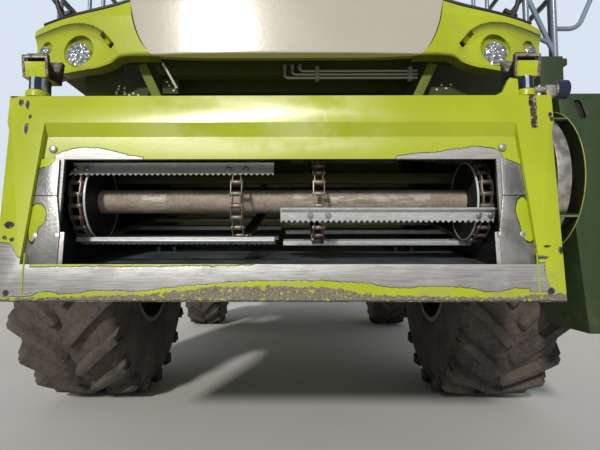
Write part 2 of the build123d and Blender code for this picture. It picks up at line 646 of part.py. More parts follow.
with BuildPart() as cab_body:
    shell = [(CAB_FRONT, CAB_FLOOR), (CAB_FRONT, CAB_SILL), (cab_front_at(CAB_TOP), CAB_TOP), (CAB_REAR, CAB_TOP), (CAB_REAR, CAB_FLOOR)]
    room = [
        (CAB_FRONT + CAB_WALL, CAB_FLOOR + 50), (CAB_FRONT + CAB_WALL, CAB_SILL), (cab_front_at(CAB_TOP) + CAB_WALL, CAB_TOP + 1),
        (CAB_REAR - CAB_WALL, CAB_TOP + 1), (CAB_REAR - CAB_WALL, CAB_FLOOR + 50),
    ]
    add_profile(shell, -CAB_HALF, CAB_HALF)
    add_profile(room, -CAB_HALF + CAB_WALL, CAB_HALF - CAB_WALL, Mode.SUBTRACT)
    (y0, y1), (z0, z1) = RIGHT_WINDOW
    add_block((-CAB_HALF - 1, -CAB_HALF + CAB_WALL + 1), (y0, y1), (z0, z1), Mode.SUBTRACT)
    (y0, y1), (z0, z1) = LEFT_WINDOW
    add_block((CAB_HALF - CAB_WALL - 1, CAB_HALF + 1), (y0, y1), (z0, z1), Mode.SUBTRACT)
    add_block((CAB_HALF - CAB_WALL - 1, CAB_HALF + 1), DOOR_Y, DOOR_Z, Mode.SUBTRACT)
    (x0, x1), (z0, z1) = REAR_WINDOW
    add_block((x0, x1), (CAB_REAR - CAB_WALL - 1, CAB_REAR + 1), (z0, z1), Mode.SUBTRACT)
    (x0, x1), (z0, z1) = FRONT_WINDOW
    add_block((x0, x1), (CAB_FRONT - CAB_LEAN - 1, CAB_FRONT + CAB_WALL + 1), (z0, z1), Mode.SUBTRACT)
    for z in (2500, 3400):
        for step in (-34, 22):
            lug = [
                (CAB_HALF - 20, DOOR_HINGE[1] + 4), (DOOR_HINGE[0], DOOR_HINGE[1] - 14), (DOOR_HINGE[0] + 14, DOOR_HINGE[1]),
                (DOOR_HINGE[0], DOOR_HINGE[1] + 14), (CAB_HALF - 20, DOOR_HINGE[1] + 24),
            ]
            add_plan(lug, z + step, z + step + 12)
        add_bar(at(*DOOR_HINGE, z - 60), at(*DOOR_HINGE, z + 60), 7 + RUN, Mode.SUBTRACT)
save(cab_body.part, "cab_body")

with BuildPart() as cab_glass:
    mid = CAB_WALL / 2
    (y0, y1), (z0, z1) = RIGHT_WINDOW
    add_block((-CAB_HALF + mid - GLASS / 2, -CAB_HALF + mid + GLASS / 2), (y0 + RUN, y1 - RUN), (z0 + RUN, z1 - RUN))
    (y0, y1), (z0, z1) = LEFT_WINDOW
    add_block((CAB_HALF - mid - GLASS / 2, CAB_HALF - mid + GLASS / 2), (y0 + RUN, y1 - RUN), (z0 + RUN, z1 - RUN))
    (x0, x1), (z0, z1) = REAR_WINDOW
    add_block((x0 + RUN, x1 - RUN), (CAB_REAR - mid - GLASS / 2, CAB_REAR - mid + GLASS / 2), (z0 + RUN, z1 - RUN))
    (x0, x1), (z0, z1) = FRONT_WINDOW
    low, high = z0 + RUN, z1 - RUN
    add_profile(
        [
            (cab_front_at(low) + 12, low), (cab_front_at(high) + 12, high),
            (cab_front_at(high) + 12 + GLASS, high), (cab_front_at(low) + 12 + GLASS, low),
        ],
        x0 + RUN,
        x1 - RUN,
    )
save(cab_glass.part, "cab_glass")

with BuildPart() as cab_door:
    (y0, y1), (z0, z1) = DOOR_Y, DOOR_Z
    add_block((CAB_HALF - CAB_WALL + 3, CAB_HALF - 1), (y0 + GAP, y1 - GAP), (z0 + GAP, z1 - GAP))
    add_block((CAB_HALF - CAB_WALL, CAB_HALF), (y0 + 60, y1 - 60), (z0 + 70, z1 - 60), Mode.SUBTRACT)
    for z in (2500, 3400):
        arm = [
            (CAB_HALF - 12, y1 - GAP - 40), (CAB_HALF - 2, y1 - GAP - 40), (DOOR_HINGE[0] + 6, DOOR_HINGE[1]), (DOOR_HINGE[0] - 4, DOOR_HINGE[1]),
        ]
        add_plan(arm, z - 20, z + 20)
        add_bar(at(*DOOR_HINGE, z - 40), at(*DOOR_HINGE, z + 40), 7)
    # pull handle
    add_bar(at(CAB_HALF + 28, y0 + 34, 2560), at(CAB_HALF + 28, y0 + 34, 2960), 9)
    for z in (2570, 2950):
        add_bar(at(CAB_HALF - 4, y0 + 34, z), at(CAB_HALF + 28, y0 + 34, z), 8)
save(cab_door.part, "cab_door")

with BuildPart() as door_glass:
    (y0, y1), (z0, z1) = DOOR_Y, DOOR_Z
    mid = CAB_HALF - CAB_WALL / 2
    add_block((mid - GLASS / 2, mid + GLASS / 2), (y0 + 60 + RUN, y1 - 60 - RUN), (z0 + 70 + RUN, z1 - 60 - RUN))
save(door_glass.part, "door_glass")

ROOF_FRONT = -1430.0
ROOF_TOP = 3960.0
WORK_LAMPS = (-710.0, -480.0, -250.0, 250.0, 480.0, 710.0)
WORK_LAMP_R = 50.0
WORK_LAMP_Z = 3782.0
with BuildPart() as cab_roof:
    with BuildSketch(Plane(origin=(0, 0, 0), x_dir=(0, 1, 0), z_dir=(1, 0, 0))):
        with BuildLine():
            Polyline((st(CAB_REAR + 60), ROOF_TOP - 90), (st(CAB_REAR + 60), CAB_TOP + RUN), (st(ROOF_FRONT + 60), CAB_TOP + RUN), (st(ROOF_FRONT), 3780), (st(ROOF_FRONT + 60), 3890))
            ThreePointArc((st(ROOF_FRONT + 60), 3890), (st(-500), ROOF_TOP), (st(CAB_REAR + 60), ROOF_TOP - 90))
        make_face()
    extrude(amount=960, both=True)
    corners = cab_roof.edges().filter_by(Axis.Z)
    fillet(corners, radius=60)
    for x in WORK_LAMPS:
        add_bar(at(x, ROOF_FRONT - 1, WORK_LAMP_Z), at(x, ROOF_FRONT + 90, WORK_LAMP_Z), WORK_LAMP_R + RUN, Mode.SUBTRACT)
save(cab_roof.part, "cab_roof")

with BuildPart() as seat_frame:
    floor = CAB_FLOOR + 50 + RUN
    add_block((-160, 160), (-420, -60), (floor, floor + 220))
    add_block((-230, 230), (-460, 0), (floor + 200, floor + 240))
save(seat_frame.part, "seat_frame")

with BuildPart() as seat_cushion:
    low = CAB_FLOOR + 290 + RUN * 2
    add_profile([(-480, low), (-480, low + 110), (-40, low + 90), (100, low + 700), (180, low + 690), (60, low)], -240, 240)
save(seat_cushion.part, "seat_cushion")

with BuildPart() as steering_column:
    floor = CAB_FLOOR + 50 + RUN
    add_bar(at(0, -893, floor + 30), at(0, -760, floor + 620), 45)
    add_block((-110, 110), (-960, -840), (floor, floor + 40))
    wheel = Plane(origin=at(0, -752, floor + 655), x_dir=(1, 0, 0), z_dir=(0, 0.22, 0.97))
    with BuildSketch(Plane(origin=wheel.origin, x_dir=(1, 0, 0), z_dir=-wheel.y_dir)) as rim_section:
        with Locations((190, 0)):
            Circle(14)
    revolve(rim_section.sketch, axis=Axis(wheel.origin, wheel.z_dir))
    add_bar(wheel.origin - wheel.z_dir * 60, wheel.origin + wheel.z_dir * 8, 55)
    for angle in (30, 150, 270):
        direction = wheel.x_dir.rotate(Axis((0, 0, 0), wheel.z_dir), angle)
        add_bar(wheel.origin, wheel.origin + direction * 190, 9)
save(steering_column.part, "steering_column")

# Front fascia: pale centre panel and two swept side lobes with their lamps
FASCIA_LOW = 2200.0
FASCIA_TOP = 2620.0
FASCIA_FRONT = -1235.0
LOBE_BACK = -1010.0
LAMP = (1220.0, 2235.0)
LAMP_R = 68.0
LAMP_FACE = -1190.0
LAMP_DEPTH = 64.0
SMALL_LAMPS = ((1412.0, 2290.0), (1392.0, 2190.0))
SMALL_LAMP_R = 26.0
SMALL_LAMP_FACE = -1120.0

seam_low = 742.0
seam_high = 915.0
with BuildPart() as fascia_centre:
    add_profile(
        [
            (CAB_FRONT - RUN, FASCIA_LOW), (CAB_FRONT - RUN, FASCIA_TOP), (CAB_FRONT - 60, FASCIA_TOP), (FASCIA_FRONT + 10, 2540),
            (FASCIA_FRONT, 2400), (FASCIA_FRONT + 8, 2270), (FASCIA_FRONT + 45, FASCIA_LOW + 10), (FASCIA_FRONT + 75, FASCIA_LOW),
        ],
        -seam_high,
        seam_high,
    )
    for side, name in SIDES:
        cut = [(side * seam_low, FASCIA_LOW - 1), (side * seam_high, FASCIA_TOP + 1), (side * 1000, FASCIA_TOP + 1), (side * 1000, FASCIA_LOW - 1)]
        add_front(cut, FASCIA_FRONT - 1, CAB_FRONT + 1, Mode.SUBTRACT)
save(fascia_centre.part, "fascia_centre")

LOBE_TOP = ((1180.0, 2560.0), (1440.0, 2420.0))


def lobe_top(x):
    """Height of the lobe's outer upper edge."""
    (x0, z0), (x1, z1) = LOBE_TOP
    return z0 + (z1 - z0) * (x - x0) / (x1 - x0)


with BuildPart() as eye_recess:
    eye = [
        (1452, 2372), (1360, 2420), (1200, 2425), (1090, 2360), (1010, 2235), (1100, 2180), (1250, 2150),
        (1380, 2140), (1440, 2190),
    ]
    add_front(eye, FASCIA_FRONT - 1, LOBE_BACK)
    # its floor follows the lobe's sweep
    floor_line = [
        (1000, FASCIA_FRONT - 1), (1000, FASCIA_FRONT + 70), (1180, FASCIA_FRONT + 85),
        (1400, FASCIA_FRONT + 140), (1480, FASCIA_FRONT + 200), (1480, FASCIA_FRONT - 1),
    ]
    add_plan(floor_line, 2000, 2700, Mode.INTERSECT)

with BuildPart() as lobe:
    add_front(
        [
            (seam_low + 4, FASCIA_LOW), (seam_high + 4, FASCIA_TOP), *LOBE_TOP, (1475, 2340),
            (1460, 2160), (1380, 2100), (1180, 2150), (970, 2197),
        ],
        FASCIA_FRONT,
        LOBE_BACK,
    )
    # the lobe sweeps back towards its outer end
    sweep_line = [
        (700, FASCIA_FRONT - 1), (700, FASCIA_FRONT + 6), (1180, FASCIA_FRONT + 35),
        (1400, FASCIA_FRONT + 95), (1480, FASCIA_FRONT + 190), (1500, FASCIA_FRONT - 1),
    ]
    add_plan(sweep_line, 2000, 2700, Mode.SUBTRACT)
    add(eye_recess.part, mode=Mode.SUBTRACT)
    lamp_back = LAMP_FACE + LAMP_DEPTH
    add_bar(at(LAMP[0], FASCIA_FRONT, LAMP[1]), at(LAMP[0], lamp_back, LAMP[1]), LAMP_R + RUN, Mode.SUBTRACT)
    for x, z in SMALL_LAMPS:
        small_back = SMALL_LAMP_FACE + LAMP_DEPTH
        add_bar(at(x, FASCIA_FRONT, z), at(x, small_back, z), SMALL_LAMP_R + RUN, Mode.SUBTRACT)
    add_block((0, CAB_HALF + RUN), (CAB_FRONT - RUN, 0), (2000, 2700), Mode.SUBTRACT)
save(both_sides(lobe.part), "fascia_lobes")

with BuildPart() as lamps:
    for side, name in SIDES:
        x = side * LAMP[0]
        add_bar(at(x, LAMP_FACE, LAMP[1]), at(x, LAMP_FACE + LAMP_DEPTH - RUN, LAMP[1]), LAMP_R)
        for small_x, z in SMALL_LAMPS:
            start = at(side * small_x, SMALL_LAMP_FACE, z)
            add_bar(start, at(side * small_x, SMALL_LAMP_FACE + LAMP_DEPTH - RUN, z), SMALL_LAMP_R)
        # tail lamps on the sides of the straw hood
        add_block(sorted((side * (BODY_HALF + RUN), side * (BODY_HALF + 130))), (5560, 5620), (1900, 1990))
    for x in WORK_LAMPS:
        add_bar(at(x, ROOF_FRONT + 24, WORK_LAMP_Z), at(x, ROOF_FRONT + 90 - RUN, WORK_LAMP_Z), WORK_LAMP_R)
save(lamps.part, "lamps")

# Platforms, the cab's subframe, railings and the ladder
DECK = 2245.0
PLATE = 40.0
RAIL_R = 18.0
STRUT_LOW = 2085.0  # clear of the raised feeder
GUARD_PLATE_X = (-1231.0, -1002.0)
GUARD_PLATE_LOW = 2040.0
PLATFORM_OUT = 1700.0
LADDER_POSTS = (1640.0, 1470.0)
LADDER_POST_Y = -985.0
GRAB_REACH = 1880.0
with BuildPart() as platforms:
    for side, name in SIDES:
        x0, x1 = sorted((side * 780, side * 860))
        add_block((x0, x1), (-1000, 410), (CAB_SHELF + RUN, CAB_FLOOR - RUN))
        outer = PLATFORM_OUT if side > 0 else 1480
        x0, x1 = sorted((side * 850, side * outer))
        add_block((x0, x1), (LOBE_BACK + 4, 410), (DECK - PLATE, DECK))
        strut = [
            (side * 796, STRUT_LOW), (side * 850, STRUT_LOW), (side * 925, DECK - 20), (side * 868, DECK - 20),
        ]
        add_front(strut, LOBE_BACK + RUN, -990)
    for station in (-960, -660, 300):
        add_block((-860, 860), (station - 40, station + 40), (CAB_SHELF + 30, CAB_FLOOR - RUN))
    # guard plate hung under the right platform's front edge
    add_block(GUARD_PLATE_X, (-1004, -998), (GUARD_PLATE_LOW, DECK - PLATE + 2))
save(platforms.part, "platforms")

with BuildPart() as railings:
    top = DECK + 900
    middle = DECK + 450
    for x, first in ((PLATFORM_OUT - 20, -880), (-1460, -900)):
        rail = [at(x, first, DECK + RUN), at(x, first, top), at(x, 380, top), at(x, 380, DECK + RUN)]
        add_tube_run(rail, 120, RAIL_R)
        add_bar(at(x, first, middle), at(x, 380, middle), RAIL_R)
    # posts and grab rail over the ladder
    for x in LADDER_POSTS:
        add_bar(at(x, LADDER_POST_Y, DECK + RUN), at(x, LADDER_POST_Y, top - 60), RAIL_R)
    outer_post, inner_post = LADDER_POSTS
    add_bar(at(outer_post, LADDER_POST_Y, DECK + 25), at(inner_post, LADDER_POST_Y, DECK + 430), RAIL_R - 3)
    add_bar(at(outer_post, LADDER_POST_Y, DECK + 85), at(inner_post, LADDER_POST_Y, DECK + 175), RAIL_R - 6)
    grab = [
        at(outer_post, LADDER_POST_Y, DECK + 196), at(1785, LADDER_POST_Y, DECK + 196),
        at(GRAB_REACH, LADDER_POST_Y, DECK + 400), at(GRAB_REACH, LADDER_POST_Y, top - 200),
        at(inner_post, LADDER_POST_Y, top - 80),
    ]
    add_tube_run(grab, 90, RAIL_R - 4)
    # hoops beside the cab
    for side, name in SIDES:
        hoop = [
            at(side * 1250, LADDER_POST_Y + 40, DECK + RUN), at(side * 1250, LADDER_POST_Y + 40, DECK + 760),
            at(side * 1165, LADDER_POST_Y + 40, DECK + 760), at(side * 1165, LADDER_POST_Y + 40, DECK + RUN),
        ]
        add_tube_run(hoop, 30, 12)
save(railings.part, "railings")

LADDER_Y = (-1420.0, -1012.0)
LADDER_TOP = 1874.0
LADDER_FOOT = 660.0
LADDER_INNER = (1399.0, 1508.0)  # inner edge at the top and at the foot
LADDER_OUTER = (1645.0, 1710.0)
LADDER_SHEET = 6.0
STEPS = 5
STEP_RISE = 285.0


def ladder_x(edge, z):
    """X of the ladder's inner or outer edge at a height."""
    return edge[0] + (edge[1] - edge[0]) * (LADDER_TOP - z) / (LADDER_TOP - LADDER_FOOT)


with BuildPart() as ladder:
    foot = [(LADDER_OUTER[1], LADDER_FOOT), (LADDER_INNER[1], LADDER_FOOT)]
    front_cheek = [(LADDER_INNER[0], LADDER_TOP), (LADDER_OUTER[0], LADDER_TOP), *foot]
    add_front(front_cheek, LADDER_Y[0], LADDER_Y[0] + LADDER_SHEET)
    slot = [(1478, 1836), (1500, 1843), (1516, 1830), (1541, 1756), (1534, 1741), (1514, 1744), (1502, 1756)]
    add_front(slot, LADDER_Y[0] - 1, LADDER_Y[0] + LADDER_SHEET + 1, Mode.SUBTRACT)
    # the rear cheek goes on up to the platform
    rear_cheek = [
        (LADDER_INNER[0], LADDER_TOP), (1470, 1990), (1530, 1990), (1530, DECK + 11), (1671, DECK + 11),
        (1671, 2098), (LADDER_OUTER[0], LADDER_TOP), *foot,
    ]
    add_front(rear_cheek, LADDER_Y[1], LADDER_Y[1] + LADDER_SHEET)
    inner_sheet = [
        (LADDER_INNER[0], LADDER_TOP), (LADDER_INNER[0] + LADDER_SHEET, LADDER_TOP),
        (LADDER_INNER[1] + LADDER_SHEET, LADDER_FOOT), (LADDER_INNER[1], LADDER_FOOT),
    ]
    add_front(inner_sheet, LADDER_Y[0], LADDER_Y[1] + LADDER_SHEET)
    for i in range(STEPS):
        z = LADDER_FOOT + 40 + i * STEP_RISE
        x0, x1 = ladder_x(LADDER_INNER, z), ladder_x(LADDER_OUTER, z)
        add_block((x0 + 2, x1 - 12), (LADDER_Y[0], LADDER_Y[1] + LADDER_SHEET), (z, z + 30))
    add_block((1535, 1665), (LADDER_Y[1], LOBE_BACK + 60), (2180, DECK - PLATE - RUN))
save(ladder.part, "ladder")

PIPE_R = 8.0
PIPE_Z = (2120.0, 2141.0, 2162.0)
PIPE_STATION = -1022.0
with BuildPart() as hydraulic_pipes:
    for i, z in enumerate(PIPE_Z):
        x = -15 + 45 * i
        run = [at(x, PIPE_STATION, 2196), at(x, PIPE_STATION, z), at(785, PIPE_STATION, z)]
        add_tube_run(run, 22, PIPE_R)
        add_bar(at(x, PIPE_STATION, 2176), at(x, PIPE_STATION, 2199), PIPE_R + 4)
    # the clamps stand on the cross beam's front face
    for x in (180, 740):
        add_block((x - 12, x + 12), (PIPE_STATION - 13, -1000 - RUN), (2104, 2186))
save(hydraulic_pipes.part, "hydraulic_pipes")

MIRROR_X = 1335.0
with BuildPart() as mirror_set:
    station = LOBE_BACK - 55
    arm = [
        at(MIRROR_X, station, lobe_top(MIRROR_X) + 14), at(1420, station, 2600), at(1470, station, 3180),
        at(1740, station, 3400), at(MIRROR_REACH - 90, station, 3400),
    ]
    add_tube_run(arm, 70, 12)
    x0, x1 = MIRROR_X - 35, MIRROR_X + 35
    foot = [(x0, lobe_top(x0) + RUN), (x1, lobe_top(x1) + RUN), (x1, lobe_top(x1) + 25), (x0, lobe_top(x0) + 25)]
    add_front(foot, station - 22, station + 22)
    add_block((MIRROR_REACH - 180, MIRROR_REACH), (station - 70, station - 8), (3120, 3540))
save(both_sides(mirror_set.part), "mirrors")

LADDER_BACK = BODY_REAR - 100 + 70
with BuildPart() as rear_ladder:
    for x in (-1000, -1390):
        add_bar(at(x, LADDER_BACK, 1500), at(x, LADDER_BACK, 3250), 16)
        add_bar(at(x, BODY_REAR - 100 + RUN, 2475), at(x, LADDER_BACK, 2475), 18)
    for i in range(6):
        z = 1540 + i * 300
        add_bar(at(-1390, LADDER_BACK, z), at(-1000, LADDER_BACK, z), 14)
    add_bar(at(-1000, HOOD_REAR + RUN, 2750), at(-1000, LADDER_BACK, 2750), 14)
save(rear_ladder.part, "rear_ladder")

# Feeder house, which tips about its rear pivot. Its face leans back.
FACE_LEAN = 4.8
FACE_FOOT = (-FRONT_REACH, 867.0)  # station and height of the face's lower edge
FACE_HEIGHT = 824.0
FACE_HALF = 1085.0
OPEN_LOW = 142.0
OPEN_HIGH = 567.0
FACE_PLATE = (28.0, 46.0)  # depth of the recessed plate behind the face
STEP_LOW = 660.0
STEP_HIGH = 711.0
lean_c = cos(radians(FACE_LEAN))
lean_s = sin(radians(FACE_LEAN))


def face_plane(depth=0.0):
    """Plane of the leaning face, local x along X and local y up the face, moved rearwards by depth."""
    origin = at(0, FACE_FOOT[0] + depth * lean_c, FACE_FOOT[1] - depth * lean_s)
    return Plane(origin=origin, x_dir=(1, 0, 0), z_dir=(0, -lean_c, lean_s))


def face_side(x):
    """Plane across the face at that x: local x rearwards from the face, local y up the face."""
    return Plane(origin=at(x, *FACE_FOOT), x_dir=(0, lean_c, -lean_s), z_dir=(1, 0, 0))


def face_point(depth, height):
    """Station and height of a point behind the face by depth and up the face by height."""
    station = FACE_FOOT[0] + depth * lean_c + height * lean_s
    return (station, FACE_FOOT[1] - depth * lean_s + height * lean_c)


def lip_x(height):
    """Half width to the post's inner lip at a height up the face."""
    return 993 - 48 * (height - OPEN_LOW) / (STEP_HIGH - OPEN_LOW)


def add_face_outline(points, depth0, depth1, mode=Mode.ADD):
    with BuildSketch(face_plane(depth0)) as outline:
        with BuildLine():
            Polyline(*points, close=True)
        make_face()
    extrude(outline.sketch, amount=depth1 - depth0, dir=(0, lean_c, -lean_s), mode=mode)


def add_face_section(points, x0, x1, mode=Mode.ADD):
    with BuildSketch(face_side(x0)) as outline:
        with BuildLine():
            Polyline(*points, close=True)
        make_face()
    extrude(outline.sketch, amount=x1 - x0, dir=(1, 0, 0), mode=mode)


HOOK_X = 1027.0
HOOK_STATION = -1800.0
HOOK_BARREL = 48.0
HOOK_ROD = 33.0
BARREL_LOW = 1180.0
BARREL_TOP = 1712.0
ROD_LOW = 1480.0
HOOK_BASE = 1790.0
HOOK_HALF = 55.0

with BuildPart() as face_frame:
    # top beam: flat face, sloping step and recessed band
    beam = [(0, STEP_HIGH), (0, FACE_HEIGHT), (46, FACE_HEIGHT), (46, OPEN_HIGH), (28, OPEN_HIGH), (28, STEP_LOW)]
    add_face_section(beam, -FACE_HALF - 10, FACE_HALF + 10)
    # sill with a ledge that reaches into the channel
    add_face_section([(0, 0), (0, OPEN_LOW), (46, OPEN_LOW), (46, 0)], -FACE_HALF, FACE_HALF)
    ledge = [(40, OPEN_LOW), (70, OPEN_LOW), (70, OPEN_LOW - 12), (40, OPEN_LOW - 12)]
    add_face_section(ledge, -CHANNEL_HALF + RUN, CHANNEL_HALF - RUN)
    for side, name in SIDES:
        # post with a raised inner lip
        post = [
            (side * FACE_HALF, 0), (side * FACE_HALF, STEP_HIGH), (side * lip_x(STEP_HIGH), STEP_HIGH),
            (side * lip_x(OPEN_LOW), OPEN_LOW), (side * lip_x(OPEN_LOW), 0),
        ]
        add_face_outline(post, 0, FACE_PLATE[1])
        inner = [(side * 1000, 0), (side * 960, STEP_LOW), (side * 868, STEP_LOW), (side * 868, 0)]
        add_face_outline(inner, *FACE_PLATE)
        # outer return flange of the post
        x0, x1 = sorted((side * (FACE_HALF - 12), side * FACE_HALF))
        add_face_section([(40, 0), (40, FACE_HEIGHT), (110, FACE_HEIGHT), (110, 0)], x0, x1)
        add_bar(at(side * HOOK_X, HOOK_STATION, BARREL_LOW), at(side * HOOK_X, HOOK_STATION, BARREL_TOP), HOOK_BARREL)
        for z in (1240, 1560):
            add_block(sorted((side * HOOK_X, side * (FACE_HALF - 6))), (HOOK_STATION - 20, HOOK_STATION + 20), (z, z + 60))
            add_block((side * HOOK_X - 20, side * HOOK_X + 20), (HOOK_STATION - 110, HOOK_STATION), (z, z + 60))
        add_bar(at(side * HOOK_X, HOOK_STATION, BARREL_LOW + 40), at(side * HOOK_X, HOOK_STATION, BARREL_TOP + 1), HOOK_ROD + RUN, Mode.SUBTRACT)
    gusset = [(868, FACE_HEIGHT - 1), (968, FACE_HEIGHT - 1), (968, FACE_HEIGHT + 72), (936, FACE_HEIGHT + 78), (904, 842)]
    add_face_outline(gusset, 6, 40)
save(face_frame.part, "face_frame")

with BuildPart() as hook:
    add_bar(at(HOOK_X, HOOK_STATION, ROD_LOW), at(HOOK_X, HOOK_STATION, HOOK_BASE + 5), HOOK_ROD)
    saddle = [
        (HOOK_STATION - 66, HOOK_BASE + 62), (HOOK_STATION - 56, HOOK_BASE), (HOOK_STATION + 50, HOOK_BASE),
        (HOOK_STATION + 70, HOOK_BASE + 104), (HOOK_STATION + 48, HOOK_BASE + 108), (HOOK_STATION + 26, HOOK_BASE + 54),
        (HOOK_STATION - 8, HOOK_BASE + 40), (HOOK_STATION - 46, HOOK_BASE + 64),
    ]
    add_profile(saddle, HOOK_X - HOOK_HALF, HOOK_X + HOOK_HALF)
    rim = [(HOOK_STATION - 56, HOOK_BASE), (HOOK_STATION - 70, HOOK_BASE + 84), (HOOK_STATION - 54, HOOK_BASE + 92),
           (HOOK_STATION - 38, HOOK_BASE)]
    for x in (HOOK_X - HOOK_HALF, HOOK_X + HOOK_HALF - 12):
        add_profile(rim, x, x + 12)
    bridge = [(HOOK_STATION - 70, HOOK_BASE + 78), (HOOK_STATION - 68, HOOK_BASE + 92), (HOOK_STATION - 54, HOOK_BASE + 92),
              (HOOK_STATION - 54, HOOK_BASE + 78)]
    add_profile(bridge, HOOK_X - HOOK_HALF, HOOK_X + HOOK_HALF)
save_pair(hook.part, "hook")

CHANNEL_REAR = -50.0
DRUM = (-1640.0, 1290.0)  # station and height of the conveyor's front drum
TIE_BAR = (24.0, 50.0)  # depth and height of the cross-member between the conveyor's runs
TIE_BAR_AT = (170.0, 112.0)  # rearwards and up from the drum's centre to its lower front corner
with BuildPart() as feeder_channel:
    outer = [
        face_point(FACE_PLATE[1] + RUN, 92), face_point(FACE_PLATE[1] + RUN, 770),
        (-1200, 1880), (-150, 1985), (CHANNEL_REAR, 1960), (CHANNEL_REAR, 1265),
    ]
    inner = [
        face_point(-20, 100), face_point(-20, 756), face_point(FACE_PLATE[1] + 4, 756),
        (-1198, 1866), (-148, 1971), (CHANNEL_REAR + 10, 1950), (CHANNEL_REAR + 10, 1280), face_point(FACE_PLATE[1] + 4, 106),
    ]
    add_profile(outer, -CHANNEL_HALF - CHANNEL_SHEET, CHANNEL_HALF + CHANNEL_SHEET)
    add_profile(inner, -CHANNEL_HALF, CHANNEL_HALF, Mode.SUBTRACT)
    bar_y, bar_z = DRUM[0] + TIE_BAR_AT[0], DRUM[1] + TIE_BAR_AT[1]
    add_block((-CHANNEL_HALF - 1, CHANNEL_HALF + 1), (bar_y, bar_y + TIE_BAR[0]), (bar_z, bar_z + TIE_BAR[1]))
    for side, name in SIDES:
        x = CHANNEL_HALF + CHANNEL_SHEET
        x0, x1 = sorted((side * (x - 6), side * (CHEEK_INSIDE + CHEEK + 4)))
        add_bar(at(x0, *PIVOT), at(x1, *PIVOT), PIVOT_PIN_R)
        # flange against the back of the face
        flange = [(side * (x - 2), 92), (side * 985, 92), (side * 960, 700), (side * (x - 2), 700)]
        add_face_outline(flange, FACE_PLATE[1] + RUN, FACE_PLATE[1] + 12)
        add_lug_pair(side * LIFT_X, LIFT_EYE, LIFT_EYE_R, None, [(-1330, 1092), (-1170, 1124), (-1208, LIFT_EYE[1]), (-1292, LIFT_EYE[1])])
save(feeder_channel.part, "feeder_channel")

with BuildPart() as fill_plate:
    # folded wear plate beside the opening
    edge = [(OPEN_HIGH - 2, 882), (415, 880), (278, 858), (OPEN_LOW + RUN, 858)]
    outline = [(x, height) for height, x in edge]
    outline += [(lip_x(OPEN_LOW) - RUN, OPEN_LOW + RUN), (lip_x(OPEN_HIGH) - RUN, OPEN_HIGH - 2)]
    add_face_outline(outline, 16, FACE_PLATE[0] - RUN)
save(both_sides(fill_plate.part), "fill_plates")

# Conveyor: front drum, four chains and two rows of toothed slats
TOP_SHAFT = (-430.0, 1560.0)
CHAIN_R = 180.0  # from a shaft's centre to the middle of the chain
CHAIN_HALF = 30.0
CHAIN_DEPTH = 28.0
CHAIN_X = (-860.0, -185.0, 160.0, 860.0)
CHAIN_SEAT = 1.0  # how far a slat's plate lies in the chain's links
DRUM_TUBE_R = 53.0
SHAFT_R = 35.0
SPROCKET_HALF = 12.0
LINK_PITCH = 100.0
LINK_SIDE = 9.0  # thickness of a link's side plates
LINK_BAR = 26.0  # length of the solid bar between two windows
SLAT_PITCH = 338.0
SLAT_PLATE = 64.0  # width of the leg that lies on the chain
SLAT_LEG = 20.0  # height of the leg that stands out
SLAT_THICK = 5.0
SLAT_TOOTH = 10.0
SLAT_BACK = 0.3  # share of the plate that lies behind the chain pin
TOOTH_PITCH = 46.0
LEFT_PHASE = 0.52  # how far each row's slats stand along their pitch
RIGHT_PHASE = 0.93
SPROCKET_R = CHAIN_R - 10.0
drive_angle = atan2(TOP_SHAFT[1] - DRUM[1], TOP_SHAFT[0] - DRUM[0])
run_length = hypot(TOP_SHAFT[1] - DRUM[1], TOP_SHAFT[0] - DRUM[0])
loop_length = 2 * run_length + 2 * pi * CHAIN_R


def chain_point(travel, radius):
    """Point and outward direction on the chain's loop, measured from the drum's front."""
    half_turn = pi * CHAIN_R
    travel = travel % loop_length
    along = (cos(drive_angle), sin(drive_angle))
    up = (-along[1], along[0])
    if travel < half_turn / 2:
        angle = pi - travel / CHAIN_R
    elif travel < half_turn / 2 + run_length:
        s = travel - half_turn / 2
        return (DRUM[0] + along[0] * s + up[0] * radius, DRUM[1] + along[1] * s + up[1] * radius), up
    elif travel < 1.5 * half_turn + run_length:
        angle = pi / 2 - (travel - half_turn / 2 - run_length) / CHAIN_R
        out = (along[0] * cos(angle) + up[0] * sin(angle), along[1] * cos(angle) + up[1] * sin(angle))
        return (TOP_SHAFT[0] + out[0] * radius, TOP_SHAFT[1] + out[1] * radius), out
    elif travel < 1.5 * half_turn + 2 * run_length:
        s = travel - 1.5 * half_turn - run_length
        down = (-up[0], -up[1])
        return (TOP_SHAFT[0] - along[0] * s + down[0] * radius, TOP_SHAFT[1] - along[1] * s + down[1] * radius), down
    else:
        angle = -pi / 2 - (travel - 1.5 * half_turn - 2 * run_length) / CHAIN_R
    out = (along[0] * cos(angle) + up[0] * sin(angle), along[1] * cos(angle) + up[1] * sin(angle))
    return (DRUM[0] + out[0] * radius, DRUM[1] + out[1] * radius), out


